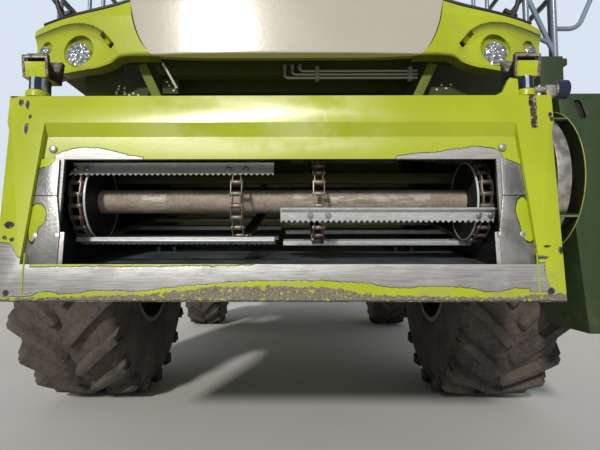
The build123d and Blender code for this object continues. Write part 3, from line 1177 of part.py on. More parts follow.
def add_slat(travel, x0, x1):
    """An angle bar on the chains: a plate with a toothed leading edge and a leg that stands out."""
    (py, pz), out = chain_point(travel, CHAIN_R + CHAIN_DEPTH / 2 - CHAIN_SEAT)
    plate = Plane(origin=at(x0, py, pz), x_dir=(1, 0, 0), z_dir=(0, *out))
    back = SLAT_BACK * SLAT_PLATE
    front = back - SLAT_PLATE
    teeth = int((x1 - x0) / TOOTH_PITCH)
    edge = []
    for i in range(teeth):
        edge += [(i * (x1 - x0) / teeth, front), ((i + 0.5) * (x1 - x0) / teeth, front + SLAT_TOOTH)]
    with BuildSketch(plate) as outline:
        with BuildLine():
            Polyline((0, back), *edge, (x1 - x0, front), (x1 - x0, back), close=True)
        make_face()
    extrude(outline.sketch, amount=SLAT_THICK, dir=(0, *out))
    with BuildSketch(plate) as leg:
        with BuildLine():
            low = back - SLAT_THICK
            Polyline((0, low), (x1 - x0, low), (x1 - x0, back), (0, back), close=True)
        make_face()
    extrude(leg.sketch, amount=SLAT_LEG, dir=(0, *out))


with BuildPart() as conveyor:
    for x in CHAIN_X:
        for radius, mode in ((CHAIN_R + CHAIN_DEPTH / 2, Mode.ADD), (CHAIN_R - CHAIN_DEPTH / 2, Mode.SUBTRACT)):
            with BuildSketch(Plane(origin=(x - CHAIN_HALF, 0, 0), x_dir=(0, 1, 0), z_dir=(1, 0, 0))) as loop:
                middle = ((st(DRUM[0]) + st(TOP_SHAFT[0])) / 2, (DRUM[1] + TOP_SHAFT[1]) / 2)
                with Locations(middle):
                    SlotCenterToCenter(run_length, 2 * radius, rotation=degrees(drive_angle))
            extrude(loop.sketch, amount=2 * CHAIN_HALF, dir=(1, 0, 0), mode=mode)
    # a window in each link, between its side plates
    links = round(loop_length / LINK_PITCH)
    for i in range(links):
        (py, pz), out = chain_point((i + 0.5) * loop_length / links, CHAIN_R)
        with BuildSketch(Plane(origin=at(0, py, pz), x_dir=(1, 0, 0), z_dir=(0, *out))) as windows:
            with Locations(*[(x, 0) for x in CHAIN_X]):
                Rectangle(2 * (CHAIN_HALF - LINK_SIDE), loop_length / links - LINK_BAR)
        extrude(windows.sketch, amount=CHAIN_DEPTH, both=True, mode=Mode.SUBTRACT)
    for x in CHAIN_X:
        for centre in (DRUM, TOP_SHAFT):
            add_bar(at(x - SPROCKET_HALF, *centre), at(x + SPROCKET_HALF, *centre), SPROCKET_R)
    add_bar(at(-CHANNEL_HALF + RUN, *DRUM), at(CHANNEL_HALF - RUN, *DRUM), DRUM_TUBE_R)
    add_bar(at(-CHANNEL_HALF + RUN, *TOP_SHAFT), at(CHANNEL_HALF - RUN, *TOP_SHAFT), SHAFT_R)
    count = round(loop_length / SLAT_PITCH)
    for (x0, x1), phase in (((CHAIN_X[0], CHAIN_X[1]), LEFT_PHASE), ((CHAIN_X[2], CHAIN_X[3]), RIGHT_PHASE)):
        for i in range(count):
            add_slat((i + phase) * loop_length / count, x0 - CHAIN_HALF + 2, x1 + CHAIN_HALF - 2)
save(conveyor.part, "conveyor")

PULLEY = (-1425.0, 1413.0)
PULLEY_R = 322.0
PULLEY_X = (1200.0, 1262.0)
GUARD_X = 1304.0
GUARD_R = 345.0
with BuildPart() as feed_pulley:
    add_bar(at(PULLEY_X[0], *PULLEY), at(PULLEY_X[1], *PULLEY), PULLEY_R)
    add_bar(at(PULLEY_X[0] - 1, *PULLEY), at(PULLEY_X[0] + 24, *PULLEY), PULLEY_R - 22, Mode.SUBTRACT)
    add_bar(at(PULLEY_X[1] - 24, *PULLEY), at(PULLEY_X[1] + 1, *PULLEY), PULLEY_R - 22, Mode.SUBTRACT)
    add_bar(at(CHANNEL_HALF + CHANNEL_SHEET + RUN, *PULLEY), at(PULLEY_X[1] + 20, *PULLEY), 42)
save(feed_pulley.part, "feed_pulley")

with BuildPart() as pulley_guard:
    add_bar(at(GUARD_X, *PULLEY), at(GUARD_X + 4, *PULLEY), GUARD_R)
    add_bar(at(GUARD_X - 1, *PULLEY), at(GUARD_X + 5, *PULLEY), 90, Mode.SUBTRACT)
    for angle in (50, 130, 215):
        station = PULLEY[0] + (GUARD_R - 11) * cos(radians(angle))
        z = PULLEY[1] + (GUARD_R - 11) * sin(radians(angle))
        add_bar(at(CHANNEL_HALF + CHANNEL_SHEET + RUN, station, z), at(GUARD_X + 2, station, z), 9)
save(pulley_guard.part, "pulley_guard")

with BuildPart() as coupler:
    add_face_section([(4, FACE_HEIGHT + RUN), (4, FACE_HEIGHT + 46), (42, FACE_HEIGHT + 46), (42, FACE_HEIGHT + RUN)], 1080, 1120)
    station, z = face_point(23, FACE_HEIGHT + 34)
    add_bar(at(1040, station, z), at(1130, station, z), 12)
    add_bar(at(1122, station, z), at(1170, station, z), 38)
save(coupler.part, "coupler")

# Lift cylinders between the axle and the feeder's underside
lift_dir = Vector(0, LIFT_EYE[0] - LIFT_FOOT[0], LIFT_EYE[1] - LIFT_FOOT[1])
lift_length = lift_dir.length
lift_dir = lift_dir.normalized()


def lift_point(distance):
    return Vector(*at(LIFT_X, *LIFT_FOOT)) + lift_dir * distance


with BuildPart() as lift_barrel:
    x0, x1 = LIFT_X - LIFT_EYE_HALF, LIFT_X + LIFT_EYE_HALF
    add_bar(at(x0, *LIFT_FOOT), at(x1, *LIFT_FOOT), LIFT_EYE_R)
    reach = LIFT_EYE_HALF + LUG_SIDE_GAP + LUG_PLATE + 4
    add_bar(at(LIFT_X - reach, *LIFT_FOOT), at(LIFT_X + reach, *LIFT_FOOT), LIFT_PIN)
    add_bar(lift_point(20), lift_point(62), 24)
    add_bar(lift_point(60), lift_point(640), LIFT_BARREL)
    add_bar(lift_point(85), lift_point(641), LIFT_ROD + RUN, Mode.SUBTRACT)
save_pair(lift_barrel.part, "lift_barrel")

with BuildPart() as lift_rod:
    add_bar(lift_point(330), lift_point(lift_length - 20), LIFT_ROD)
    add_bar(at(LIFT_X - LIFT_EYE_HALF, *LIFT_EYE), at(LIFT_X + LIFT_EYE_HALF, *LIFT_EYE), LIFT_EYE_R)
save_pair(lift_rod.part, "lift_rod")
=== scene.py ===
# %% [markdown]
# # The looks of a combine harvester
# The machine stands with its front attachment taken off, so we look straight into the feeder house, the
# channel that carries the crop up to the threshing drum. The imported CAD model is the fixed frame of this
# scene: every piece below is made in metres in that frame, and either finishes a CAD node or stands for one.

# %% Load the frame
import bmesh
import bpy
import json
import math
from mathutils import Matrix, Vector

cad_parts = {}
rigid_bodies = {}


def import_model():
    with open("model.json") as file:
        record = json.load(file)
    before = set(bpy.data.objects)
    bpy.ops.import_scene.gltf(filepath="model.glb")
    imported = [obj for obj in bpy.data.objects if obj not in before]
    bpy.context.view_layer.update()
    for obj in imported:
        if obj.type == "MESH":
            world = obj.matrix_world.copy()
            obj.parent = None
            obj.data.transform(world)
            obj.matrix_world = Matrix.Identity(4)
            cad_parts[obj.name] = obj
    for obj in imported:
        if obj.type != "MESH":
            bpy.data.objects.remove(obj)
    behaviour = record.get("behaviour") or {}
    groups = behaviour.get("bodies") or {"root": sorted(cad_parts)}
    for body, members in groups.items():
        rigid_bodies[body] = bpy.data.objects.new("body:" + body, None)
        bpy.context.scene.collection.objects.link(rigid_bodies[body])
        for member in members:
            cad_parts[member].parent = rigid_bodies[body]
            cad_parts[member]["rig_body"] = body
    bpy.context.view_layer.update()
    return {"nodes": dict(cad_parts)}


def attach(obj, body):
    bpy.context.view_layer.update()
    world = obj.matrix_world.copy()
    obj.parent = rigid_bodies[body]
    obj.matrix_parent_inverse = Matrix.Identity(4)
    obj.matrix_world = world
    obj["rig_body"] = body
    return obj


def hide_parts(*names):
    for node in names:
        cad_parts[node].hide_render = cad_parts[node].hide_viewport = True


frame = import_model()
nodes = frame["nodes"]
scene = bpy.context.scene
scene.view_settings.view_transform = "Standard"

# %% [markdown]
# ## Where the photographer stood
# The vanishing lines of the sill and the beam give a camera 1.03 m above the ground and 3.7 m ahead of the
# front axle, tipped up by 4.2 degrees. A phone's wide lens of that angle is 27.5 mm on a 36 mm frame.

# %% Camera
AXLE_Y = -2.236
camera_data = bpy.data.cameras.new("camera")
camera_data.lens = 27.5
camera = bpy.data.objects.new("camera", camera_data)
camera.location = (0.092, AXLE_Y - 3.72, 1.03)
camera.rotation_euler = (math.radians(90 + 4.2), 0, math.radians(0.33))
scene.collection.objects.link(camera)
scene.camera = camera

# %% [markdown]
# ## A plain studio
# A pale floor and a pale world fill the shadows. One lamp with a soft edge shines from behind the camera on
# the left, 26 degrees up, because that is where the sun stood: it lights the feeder's face and leaves the
# throat behind it dark.

# %% Light and floor
world = bpy.data.worlds.new("studio")
world.use_nodes = True
scene.world = world
tree = world.node_tree
path = tree.nodes.new("ShaderNodeLightPath")
seen = tree.nodes.new("ShaderNodeMath")
seen.operation = "MAXIMUM"
tree.links.new(path.outputs["Is Camera Ray"], seen.inputs[0])
tree.links.new(path.outputs["Is Transmission Ray"], seen.inputs[1])
fill = tree.nodes["Background"]
fill.inputs["Color"].default_value = (0.90, 0.94, 1.0, 1)
fill.inputs["Strength"].default_value = 0.36
shown = tree.nodes.new("ShaderNodeBackground")
shown.inputs["Color"].default_value = (0.70, 0.78, 0.88, 1)
choice = tree.nodes.new("ShaderNodeMixShader")
tree.links.new(seen.outputs[0], choice.inputs[0])
tree.links.new(fill.outputs[0], choice.inputs[1])
tree.links.new(shown.outputs[0], choice.inputs[2])
tree.links.new(choice.outputs[0], tree.nodes["World Output"].inputs["Surface"])

lamp_data = bpy.data.lights.new("key", "SUN")
lamp_data.energy = 2.5
lamp_data.angle = math.radians(5)
lamp_data.color = (1.0, 0.965, 0.90)
lamp = bpy.data.objects.new("key", lamp_data)
lamp.rotation_euler = Vector((0.24, 1.0, -0.51)).to_track_quat("-Z", "Y").to_euler()
scene.collection.objects.link(lamp)

floor_mesh = bpy.data.meshes.new("floor")
floor_mesh.from_pydata([(-60, -60, 0), (60, -60, 0), (60, 60, 0), (-60, 60, 0)], [], [(0, 1, 2, 3)])
floor = bpy.data.objects.new("floor", floor_mesh)
scene.collection.objects.link(floor)

# %% [markdown]
# ## Patterns as formulas
# Paint, dirt and wear are patterns of the piece's own coordinates. `Num` wraps one number of a node tree, so
# that a pattern reads as a formula: `a * b + 1` makes the two Math nodes. `Finish` holds one material while
# it is made.

# %% Numbers in a node tree
def put(tree, value, slot):
    """A number, a colour or another node's output goes into a socket."""
    if isinstance(value, Num):
        tree.links.new(value.socket, slot)
    elif isinstance(value, bpy.types.NodeSocket):
        tree.links.new(value, slot)
    else:
        slot.default_value = value


class Num:
    def __init__(self, tree, socket):
        self.tree, self.socket = tree, socket

    def op(self, kind, *others, clamp=False):
        node = self.tree.nodes.new("ShaderNodeMath")
        node.operation = kind
        node.use_clamp = clamp
        for slot, value in zip(node.inputs, (self,) + others):
            put(self.tree, value, slot)
        return Num(self.tree, node.outputs[0])

    def __add__(self, other):
        return self.op("ADD", other)

    def __sub__(self, other):
        return self.op("SUBTRACT", other)

    def __mul__(self, other):
        return self.op("MULTIPLY", other)

    def __neg__(self):
        return self * -1.0

    def least(self, other):
        return self.op("MINIMUM", other)

    def most(self, other):
        return self.op("MAXIMUM", other)

    def rise(self, low, high):
        """0 below low, 1 above high, and a smooth step between them. It falls where low is above high."""
        node = self.tree.nodes.new("ShaderNodeMapRange")
        node.interpolation_type = "SMOOTHSTEP"
        put(self.tree, self, node.inputs["Value"])
        low, high, at_low, at_high = (low, high, 0.0, 1.0) if low < high else (high, low, 1.0, 0.0)
        for label, value in (("From Min", low), ("From Max", high), ("To Min", at_low), ("To Max", at_high)):
            node.inputs[label].default_value = value
        return Num(self.tree, node.outputs["Result"])

    def curve(self, points):
        """A smooth curve through (value, result) points, such as the wavy line where wear ends."""
        values, results = zip(*points)
        span = (values[0], values[-1])
        low, high = min(results) - 0.01, max(results) + 0.01
        node = self.tree.nodes.new("ShaderNodeFloatCurve")
        line = node.mapping.curves[0]
        for value, result in points[1:-1]:
            line.points.new((value - span[0]) / (span[1] - span[0]), (result - low) / (high - low))
        line.points[0].location = (0.0, (results[0] - low) / (high - low))
        line.points[-1].location = (1.0, (results[-1] - low) / (high - low))
        node.mapping.update()
        scaled = (self - span[0]) * (1.0 / (span[1] - span[0]))
        put(self.tree, scaled, node.inputs["Value"])
        return Num(self.tree, node.outputs["Value"]) * (high - low) + low


# %% One material in the making
class Finish:
    def __init__(self, name, roughness=0.5, metallic=0.0, **sockets):
        self.material = bpy.data.materials.new(name)
        self.material.use_nodes = True
        self.tree = self.material.node_tree
        self.shader = self.tree.nodes["Principled BSDF"]
        self.shader.inputs["Roughness"].default_value = roughness
        self.shader.inputs["Metallic"].default_value = metallic
        for label, value in sockets.items():
            self.shader.inputs[label.replace("_", " ")].default_value = value
        self.point = self.tree.nodes.new("ShaderNodeTexCoord").outputs["Object"]
        split = self.tree.nodes.new("ShaderNodeSeparateXYZ")
        self.tree.links.new(self.point, split.inputs[0])
        self.x, self.y, self.z = (Num(self.tree, out) for out in split.outputs)
        normal = self.tree.nodes.new("ShaderNodeSeparateXYZ")
        geometry = self.tree.nodes.new("ShaderNodeNewGeometry")
        self.tree.links.new(geometry.outputs["Normal"], normal.inputs[0])
        self.nx, self.ny, self.nz = (Num(self.tree, out) for out in normal.outputs)

    def noise(self, scale, detail=3.0, stretch=(1, 1, 1), shift=0.0):
        """Cloudy pattern about 0.5, with so many waves to the metre."""
        mapping = self.tree.nodes.new("ShaderNodeMapping")
        mapping.inputs["Scale"].default_value = stretch
        mapping.inputs["Location"].default_value = (shift, shift * 0.7, shift * 1.3)
        node = self.tree.nodes.new("ShaderNodeTexNoise")
        node.inputs["Scale"].default_value = scale
        node.inputs["Detail"].default_value = detail
        self.tree.links.new(self.point, mapping.inputs["Vector"])
        self.tree.links.new(mapping.outputs[0], node.inputs["Vector"])
        return Num(self.tree, node.outputs[0])

    def cells(self, scale, stretch=(1, 1, 1)):
        """Distance to the nearest of scattered points."""
        mapping = self.tree.nodes.new("ShaderNodeMapping")
        mapping.inputs["Scale"].default_value = stretch
        node = self.tree.nodes.new("ShaderNodeTexVoronoi")
        node.inputs["Scale"].default_value = scale
        self.tree.links.new(self.point, mapping.inputs["Vector"])
        self.tree.links.new(mapping.outputs[0], node.inputs["Vector"])
        return Num(self.tree, node.outputs["Distance"])

    def spots(self, u, v, spots):
        """Metres inside any of the ellipses (u, v, half width, half height), negative outside."""
        result = None
        for cu, cv, ru, rv in spots:
            both = self.tree.nodes.new("ShaderNodeCombineXYZ")
            put(self.tree, u.op("MULTIPLY_ADD", 1 / ru, -cu / ru), both.inputs[0])
            put(self.tree, v.op("MULTIPLY_ADD", 1 / rv, -cv / rv), both.inputs[1])
            length = self.tree.nodes.new("ShaderNodeVectorMath")
            length.operation = "LENGTH"
            self.tree.links.new(both.outputs[0], length.inputs[0])
            size = min(ru, rv)
            field = Num(self.tree, length.outputs["Value"]).op("MULTIPLY_ADD", -size, size)
            result = field if result is None else result.most(field)
        return result

    def mix(self, amount, first, second):
        """One colour, or another by an amount from 0 to 1."""
        node = self.tree.nodes.new("ShaderNodeMix")
        node.data_type = "RGBA"
        for value, slot in ((amount, node.inputs[0]), (first, node.inputs[6]), (second, node.inputs[7])):
            if isinstance(value, tuple):
                value = value + (1.0,)
            put(self.tree, value, slot)
        return node.outputs[2]

    def cloudy(self, scale, detail, low, high, first, second):
        """One colour with clouds of another."""
        return self.mix(self.noise(scale, detail).rise(low, high), first, second)

    def colour(self, value):
        put(self.tree, value, self.shader.inputs["Base Color"])

    def roughness(self, value):
        put(self.tree, value, self.shader.inputs["Roughness"])

    def metallic(self, value):
        put(self.tree, value, self.shader.inputs["Metallic"])

    def bump(self, height, depth):
        """Relief of a height pattern, depth in metres for a step from 0 to 1."""
        node = self.tree.nodes.new("ShaderNodeBump")
        node.inputs["Strength"].default_value = 1.0
        node.inputs["Distance"].default_value = depth
        put(self.tree, height, node.inputs["Height"])
        self.tree.links.new(node.outputs[0], self.shader.inputs["Normal"])


# %% [markdown]
# ## The finishes
# Enamel on a working machine is never one colour: field dust lies on what faces up and low down, and the
# primer shows as a dark line round each bare place. The same recipe makes each enamel in its colour.

# %% Enamels
LIME = (0.445, 0.525, 0.012)
# LIME_SHEEN: the lime paled by a painted sun sheen on the face's beam
LIME_SHEEN = (0.60, 0.63, 0.22)
DUST = (0.27, 0.22, 0.155)
PRIMER = (0.035, 0.035, 0.033)
STEEL = (0.40, 0.395, 0.385)


def times(colour, share):
    """A colour at a share of its strength."""
    return tuple(c * share for c in colour)


def enamel(name, colour, dust=0.25, gloss=0.30, low=1.1, coat=0.25):
    """Gloss enamel with uneven tone, dust on upper faces and splashes below a height."""
    f = Finish(name, roughness=gloss, Coat_Weight=coat, Coat_Roughness=0.12)
    tone = f.noise(2.2, 4) * 0.7 + f.noise(23, 3) * 0.3
    darker = times(colour, 0.80)
    paint = f.mix(tone.rise(0.35, 0.68), darker, colour)
    lying = f.nz.rise(0.35, 0.95) * f.noise(9, 5).rise(0.30, 0.72) * 0.55
    splash = f.z.rise(low, low - 0.75) * f.noise(14, 6).rise(0.42, 0.70) * 0.75
    specks = f.noise(210, 2).rise(0.62, 0.74) * 0.25
    dirt = (lying + splash + specks) * (dust * 2.2)
    f.colour(f.mix(dirt.op("MINIMUM", 0.9), paint, DUST))
    f.roughness(dirt.op("MULTIPLY_ADD", 0.5, gloss, clamp=True))
    f.bump(f.noise(60, 2), 0.0006)
    return f.material


lime = enamel("lime_enamel", LIME)
lime_dull = enamel("lime_enamel_below", times(LIME, 0.72), dust=0.32, gloss=0.45, low=1.9)
pale = enamel("pale_enamel", (0.60, 0.575, 0.50), dust=0.12, gloss=0.28)
dark_green = enamel("dark_green_enamel", (0.022, 0.050, 0.011), dust=0.10, gloss=0.45)
# grey rail enamel tinted blue: the blue is a painted reflection of the sky
rail_sky_tinted = enamel("rail_enamel_sky_tint", (0.20, 0.26, 0.34), dust=0.15, gloss=0.36)


def rim_enamel():
    """Cream enamel outside, old dirt on the side turned to the machine."""
    f = Finish("rim_enamel", roughness=0.36)
    cloud = f.noise(9, 6)
    inboard = (f.x * f.nx).rise(-0.02, -0.3).most(f.x.op("ABSOLUTE").rise(1.36, 1.33))
    paint = f.mix(cloud.rise(0.42, 0.70) * 0.6, (0.66, 0.64, 0.56), DUST)
    f.colour(f.mix(inboard, paint, f.mix(cloud.rise(0.4, 0.6), (0.030, 0.027, 0.022), (0.085, 0.072, 0.055))))
    f.roughness(cloud * 0.4 + 0.2)
    f.bump(f.noise(60, 3), 0.0006)
    return f.material


rim_cream = rim_enamel()

# %% [markdown]
# Bare steel shows where crop and stones have rubbed the paint off. It is bright where it still slides, with
# fine scratches along the crop's way, and brown where dust and the first rust hold on.

# %% Steels
def worn_steel(name, colour=STEEL, rust=0.25, dark=0.0, roughness=0.36, stretch=(3, 40, 40), shine=0.75):
    """Bare steel, scratched along its long side, with rust stains."""
    f = Finish(name, roughness=roughness, metallic=0.75)
    scratch = f.noise(30, 6, stretch)
    stain = f.noise(11, 6) * 0.6 + f.noise(60, 3) * 0.4
    shade = f.mix(scratch.rise(0.35, 0.65), times(colour, 0.62), colour)
    browned = f.mix(stain.rise(0.62 - rust * 0.35, 0.80) * 0.8, shade, (0.20, 0.125, 0.075))
    f.colour(f.mix(f.noise(4, 3).rise(0.40, 0.72) * dark, browned, (0.035, 0.033, 0.030)))
    f.metallic(stain.rise(0.80, 0.50) * shine)
    f.roughness(scratch.op("MULTIPLY_ADD", 0.28, roughness - 0.10))
    f.bump(scratch * 0.5 + f.noise(140, 2) * 0.5, 0.0004)
    return f.material


slat_steel = worn_steel("slat_steel", (0.74, 0.76, 0.78), rust=0.02, roughness=0.42, stretch=(1, 20, 20),
                        shine=0.25)
drum_steel = worn_steel("drum_steel", (0.40, 0.345, 0.28), rust=0.65, roughness=0.48, stretch=(10, 6, 6))
chain_steel = worn_steel("chain_steel", (0.34, 0.30, 0.25), rust=0.60, dark=0.5, roughness=0.42,
                         stretch=(8, 8, 8))
bolt_steel = worn_steel("bolt_steel", (0.58, 0.57, 0.54), rust=0.20, roughness=0.30, stretch=(9, 9, 9))


def oily_iron(name, colour, roughness=0.55, dusty=0.6):
    """Dark cast or painted iron with grease and dust."""
    f = Finish(name, roughness=roughness, metallic=0.25)
    grime = f.noise(8, 6)
    f.colour(f.mix(grime.rise(0.45, 0.75) * dusty, colour, DUST))
    f.roughness(grime.op("MULTIPLY_ADD", 0.4, roughness - 0.2))
    f.bump(f.noise(90, 4), 0.0010)
    return f.material


iron = oily_iron("oily_iron", (0.045, 0.045, 0.046))
iron_black = oily_iron("black_iron", (0.008, 0.008, 0.009), 0.6, 0.10)
pipe_zinc = worn_steel("pipe_zinc", (0.50, 0.50, 0.46), rust=0.35, roughness=0.38, stretch=(6, 30, 30))


def chrome_rod():
    f = Finish("chrome_rod", roughness=0.09, metallic=1.0)
    film = f.noise(18, 5, (1, 1, 0.2)).rise(0.55, 0.80) * 0.5
    f.colour(f.mix(film, (0.78, 0.80, 0.82), (0.34, 0.28, 0.22)))
    f.bump(f.noise(300, 2), 0.0001)
    return f.material


chrome = chrome_rod()

# %% [markdown]
# Rubber, plastic, glass and lamp parts. Tyre rubber is dark, but a field tyre is mostly the colour of dry
# soil, and the dust stays thickest between the lugs.

# %% Rubber, plastic and glass
def tyre_rubber():
    f = Finish("tyre_rubber", roughness=0.82)
    soil = f.noise(5, 6) * 0.55 + f.noise(38, 5) * 0.45
    base = f.mix(soil.rise(0.34, 0.62), (0.034, 0.030, 0.027), (0.098, 0.082, 0.066))
    scuffs = f.noise(26, 7, (1, 1, 1), 4.0).rise(0.60, 0.70) * 0.5
    f.colour(f.mix(scuffs, base, (0.028, 0.027, 0.026)))
    f.bump(f.noise(120, 5) * 0.6 + f.noise(18, 4) * 0.4, 0.0022)
    return f.material


def moulded_plastic(name, colour, roughness=0.5):
    f = Finish(name, roughness=roughness)
    faded = tuple(min(1.0, c * 1.6 + 0.03) for c in colour)
    f.colour(f.mix(f.noise(9, 4).rise(0.45, 0.75) * 0.35, colour, faded))
    f.bump(f.noise(420, 2), 0.0003)
    return f.material


def window_glass(name, tint):
    f = Finish(name, roughness=0.02, IOR=1.45, Transmission_Weight=0.92, Alpha=1.0)
    f.colour(f.mix(f.noise(3, 5).rise(0.50, 0.85) * 0.25, tint, (0.60, 0.58, 0.50)))
    return f.material


tyre = tyre_rubber()
black_plastic = moulded_plastic("black_plastic", (0.018, 0.018, 0.019))
glass = window_glass("window_glass", (0.62, 0.72, 0.70))


def lens_silver():
    """Clear ribbed lens straight over its reflector, seen as one faceted face with painted glints."""
    f = Finish("lens_glass", roughness=0.12, metallic=0.85, Coat_Weight=1.0, Coat_Roughness=0.03)
    facet_glint = f.cells(55).rise(0.15, 0.75)
    f.colour(f.mix(facet_glint, (0.86, 0.87, 0.88), (0.30, 0.31, 0.34)))
    f.bump(f.cells(55), 0.010)
    return f.material


lens_glass = lens_silver()
amber_lens = moulded_plastic("amber_lens", (0.75, 0.20, 0.008), 0.16)
red_lens = moulded_plastic("red_lens", (0.42, 0.010, 0.006), 0.16)


def reflector_silver():
    f = Finish("reflector_silver", roughness=0.16, metallic=1.0)
    # bright and dark facets: painted glints of the reflector
    f.colour(f.mix(f.cells(70).rise(0.2, 0.6), (0.94, 0.94, 0.95), (0.42, 0.43, 0.46)))
    f.bump(f.cells(70), 0.012)
    return f.material


reflector = reflector_silver()


def seat_cloth():
    f = Finish("seat_cloth", roughness=0.9, Sheen_Weight=0.3)
    weave = f.noise(700, 1, (1, 0.15, 0.15)) * 0.5 + f.noise(700, 1, (0.15, 1, 1)) * 0.5
    f.colour(f.mix(weave.rise(0.42, 0.58), (0.030, 0.031, 0.034), (0.075, 0.077, 0.082)))
    f.bump(weave, 0.0008)
    return f.material


cloth = seat_cloth()


def pale_floor():
    f = Finish("pale_floor", roughness=0.85)
    f.colour(f.cloudy(0.9, 3, 0.3, 0.7, (0.66, 0.645, 0.62), (0.69, 0.675, 0.65)))
    return f.material


floor.data.materials.append(pale_floor())
print("finishes:", len(bpy.data.materials))

# %% [markdown]
# ## Making pieces
# A piece is a mesh made here that rides on a CAD body. Painted sheet metal starts as a copy of its CAD node,
# because the shape is right already: the copy gets its triangles joined back into flat faces and its sharp
# edges rounded, since the highlight along a rounded edge is what tells steel plate from cardboard.

# %% Piece helpers
SIDES = ((1, "left"), (-1, "right"))


def place(obj, body, slot, *stands_for):
    """An object becomes a piece on a body, and may stand for CAD nodes."""
    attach(obj, body)
    if stands_for:
        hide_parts(*stands_for)
    return obj


def body_of(node):
    """The body that carries a CAD node."""
    return nodes[node]["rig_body"]


def meshed(name, bm, *materials):
    """A bmesh made a mesh in its materials."""
    mesh = bpy.data.meshes.new(name)
    bm.to_mesh(mesh)
    bm.free()
    for material in materials:
        mesh.materials.append(material)
    return mesh


def shaped(name, bm, material, smooth=30):
    """An object from a bmesh, with its faces turned out."""
    bmesh.ops.recalc_face_normals(bm, faces=bm.faces)
    return as_object(name, meshed(name, bm, material), smooth)


def as_object(name, mesh, smooth=30):
    """An object from a mesh, with edges sharper than an angle left crisp."""
    mesh.name = name
    mesh.shade_smooth()
    mesh.set_sharp_from_angle(angle=math.radians(smooth))
    obj = bpy.data.objects.new(name, mesh)
    scene.collection.objects.link(obj)
    return obj


def triangles(obj):
    """Triangles of a piece."""
    return sum(len(face.vertices) - 2 for face in obj.data.polygons)


def node_bmesh(node):
    """A CAD node's mesh with its triangles joined back into faces."""
    bm = bmesh.new()
    bm.from_mesh(nodes[node].data)
    bmesh.ops.remove_doubles(bm, verts=bm.verts, dist=2e-5)
    bmesh.ops.dissolve_limit(bm, angle_limit=math.radians(0.6), verts=bm.verts, edges=bm.edges)
    return bm


def round_edges(bm, width, sharper=28):
    """Bevels the long sharp edges."""
    sharp = []
    for edge in bm.edges:
        if len(edge.link_faces) == 2 and edge.calc_length() > 3 * width:
            if edge.calc_face_angle(0.0) > math.radians(sharper):
                sharp.append(edge)
    bmesh.ops.bevel(bm, geom=sharp, offset=width, segments=2, profile=0.6, affect="EDGES",
                    clamp_overlap=True, material=-1)


def softened(node, width, slot, material):
    """A rounded copy of a CAD node that stands for it."""
    bm = node_bmesh(node)
    round_edges(bm, width)
    return place(shaped(node + "_piece", bm, material), body_of(node), slot, node)


# %% [markdown]
# Repeated parts are placed by Geometry Nodes. One tree turns a part about the X axis a number of times, as a
# tyre's lugs and a wheel's nuts stand; the other sets a part on points that carry their own turn, as a
# chain's links do. The result is taken off the evaluated object, so that one plain mesh is left.

# %% Repeats by Geometry Nodes
def start_tree(name, *inputs):
    """A modifier tree with named inputs; returns it with its input and output nodes."""
    group = bpy.data.node_groups.new(name, "GeometryNodeTree")
    group.interface.new_socket("Geometry", in_out="INPUT", socket_type="NodeSocketGeometry")
    for label, kind in inputs:
        group.interface.new_socket(label, in_out="INPUT", socket_type=kind)
    group.interface.new_socket("Geometry", in_out="OUTPUT", socket_type="NodeSocketGeometry")
    return group, group.nodes.new("NodeGroupInput"), group.nodes.new("NodeGroupOutput")


def finish_tree(group, given, result, points, turn):
    """Instances of the part on the points, made real, in the given material."""
    part = group.nodes.new("GeometryNodeObjectInfo")
    group.links.new(given.outputs["Part"], part.inputs["Object"])
    instances = group.nodes.new("GeometryNodeInstanceOnPoints")
    group.links.new(points, instances.inputs["Points"])
    group.links.new(part.outputs["Geometry"], instances.inputs["Instance"])
    group.links.new(turn, instances.inputs["Rotation"])
    real = group.nodes.new("GeometryNodeRealizeInstances")
    group.links.new(instances.outputs[0], real.inputs[0])
    dressed = group.nodes.new("GeometryNodeSetMaterial")
    group.links.new(real.outputs[0], dressed.inputs["Geometry"])
    group.links.new(given.outputs["Material"], dressed.inputs["Material"])
    group.links.new(dressed.outputs[0], result.inputs[0])


def ring_tree():
    group, given, result = start_tree(
        "ring_of_parts", ("Part", "NodeSocketObject"), ("Material", "NodeSocketMaterial"),
        ("Count", "NodeSocketInt"), ("Phase", "NodeSocketFloat"))
    line = group.nodes.new("GeometryNodeMeshLine")
    group.links.new(given.outputs["Count"], line.inputs["Count"])
    line.inputs["Offset"].default_value = (0, 0, 0)
    index = group.nodes.new("GeometryNodeInputIndex")
    step = group.nodes.new("ShaderNodeMath")
    step.operation = "DIVIDE"
    group.links.new(index.outputs[0], step.inputs[0])
    group.links.new(given.outputs["Count"], step.inputs[1])
    angle = group.nodes.new("ShaderNodeMath")
    angle.operation = "MULTIPLY_ADD"
    group.links.new(step.outputs[0], angle.inputs[0])
    angle.inputs[1].default_value = math.tau
    group.links.new(given.outputs["Phase"], angle.inputs[2])
    turn = group.nodes.new("ShaderNodeCombineXYZ")
    group.links.new(angle.outputs[0], turn.inputs["X"])
    finish_tree(group, given, result, line.outputs["Mesh"], turn.outputs[0])
    return group


def spot_tree():
    group, given, result = start_tree(
        "parts_on_spots", ("Part", "NodeSocketObject"), ("Material", "NodeSocketMaterial"))
    turn = group.nodes.new("GeometryNodeInputNamedAttribute")
    turn.data_type = "FLOAT_VECTOR"
    turn.inputs["Name"].default_value = "turn"
    finish_tree(group, given, result, given.outputs["Geometry"], turn.outputs["Attribute"])
    return group


RING = ring_tree()
SPOTS = spot_tree()


def evaluated_mesh(obj):
    """What an object's modifiers make of it, as a mesh of its own."""
    return bpy.data.meshes.new_from_object(obj.evaluated_get(bpy.context.evaluated_depsgraph_get()))


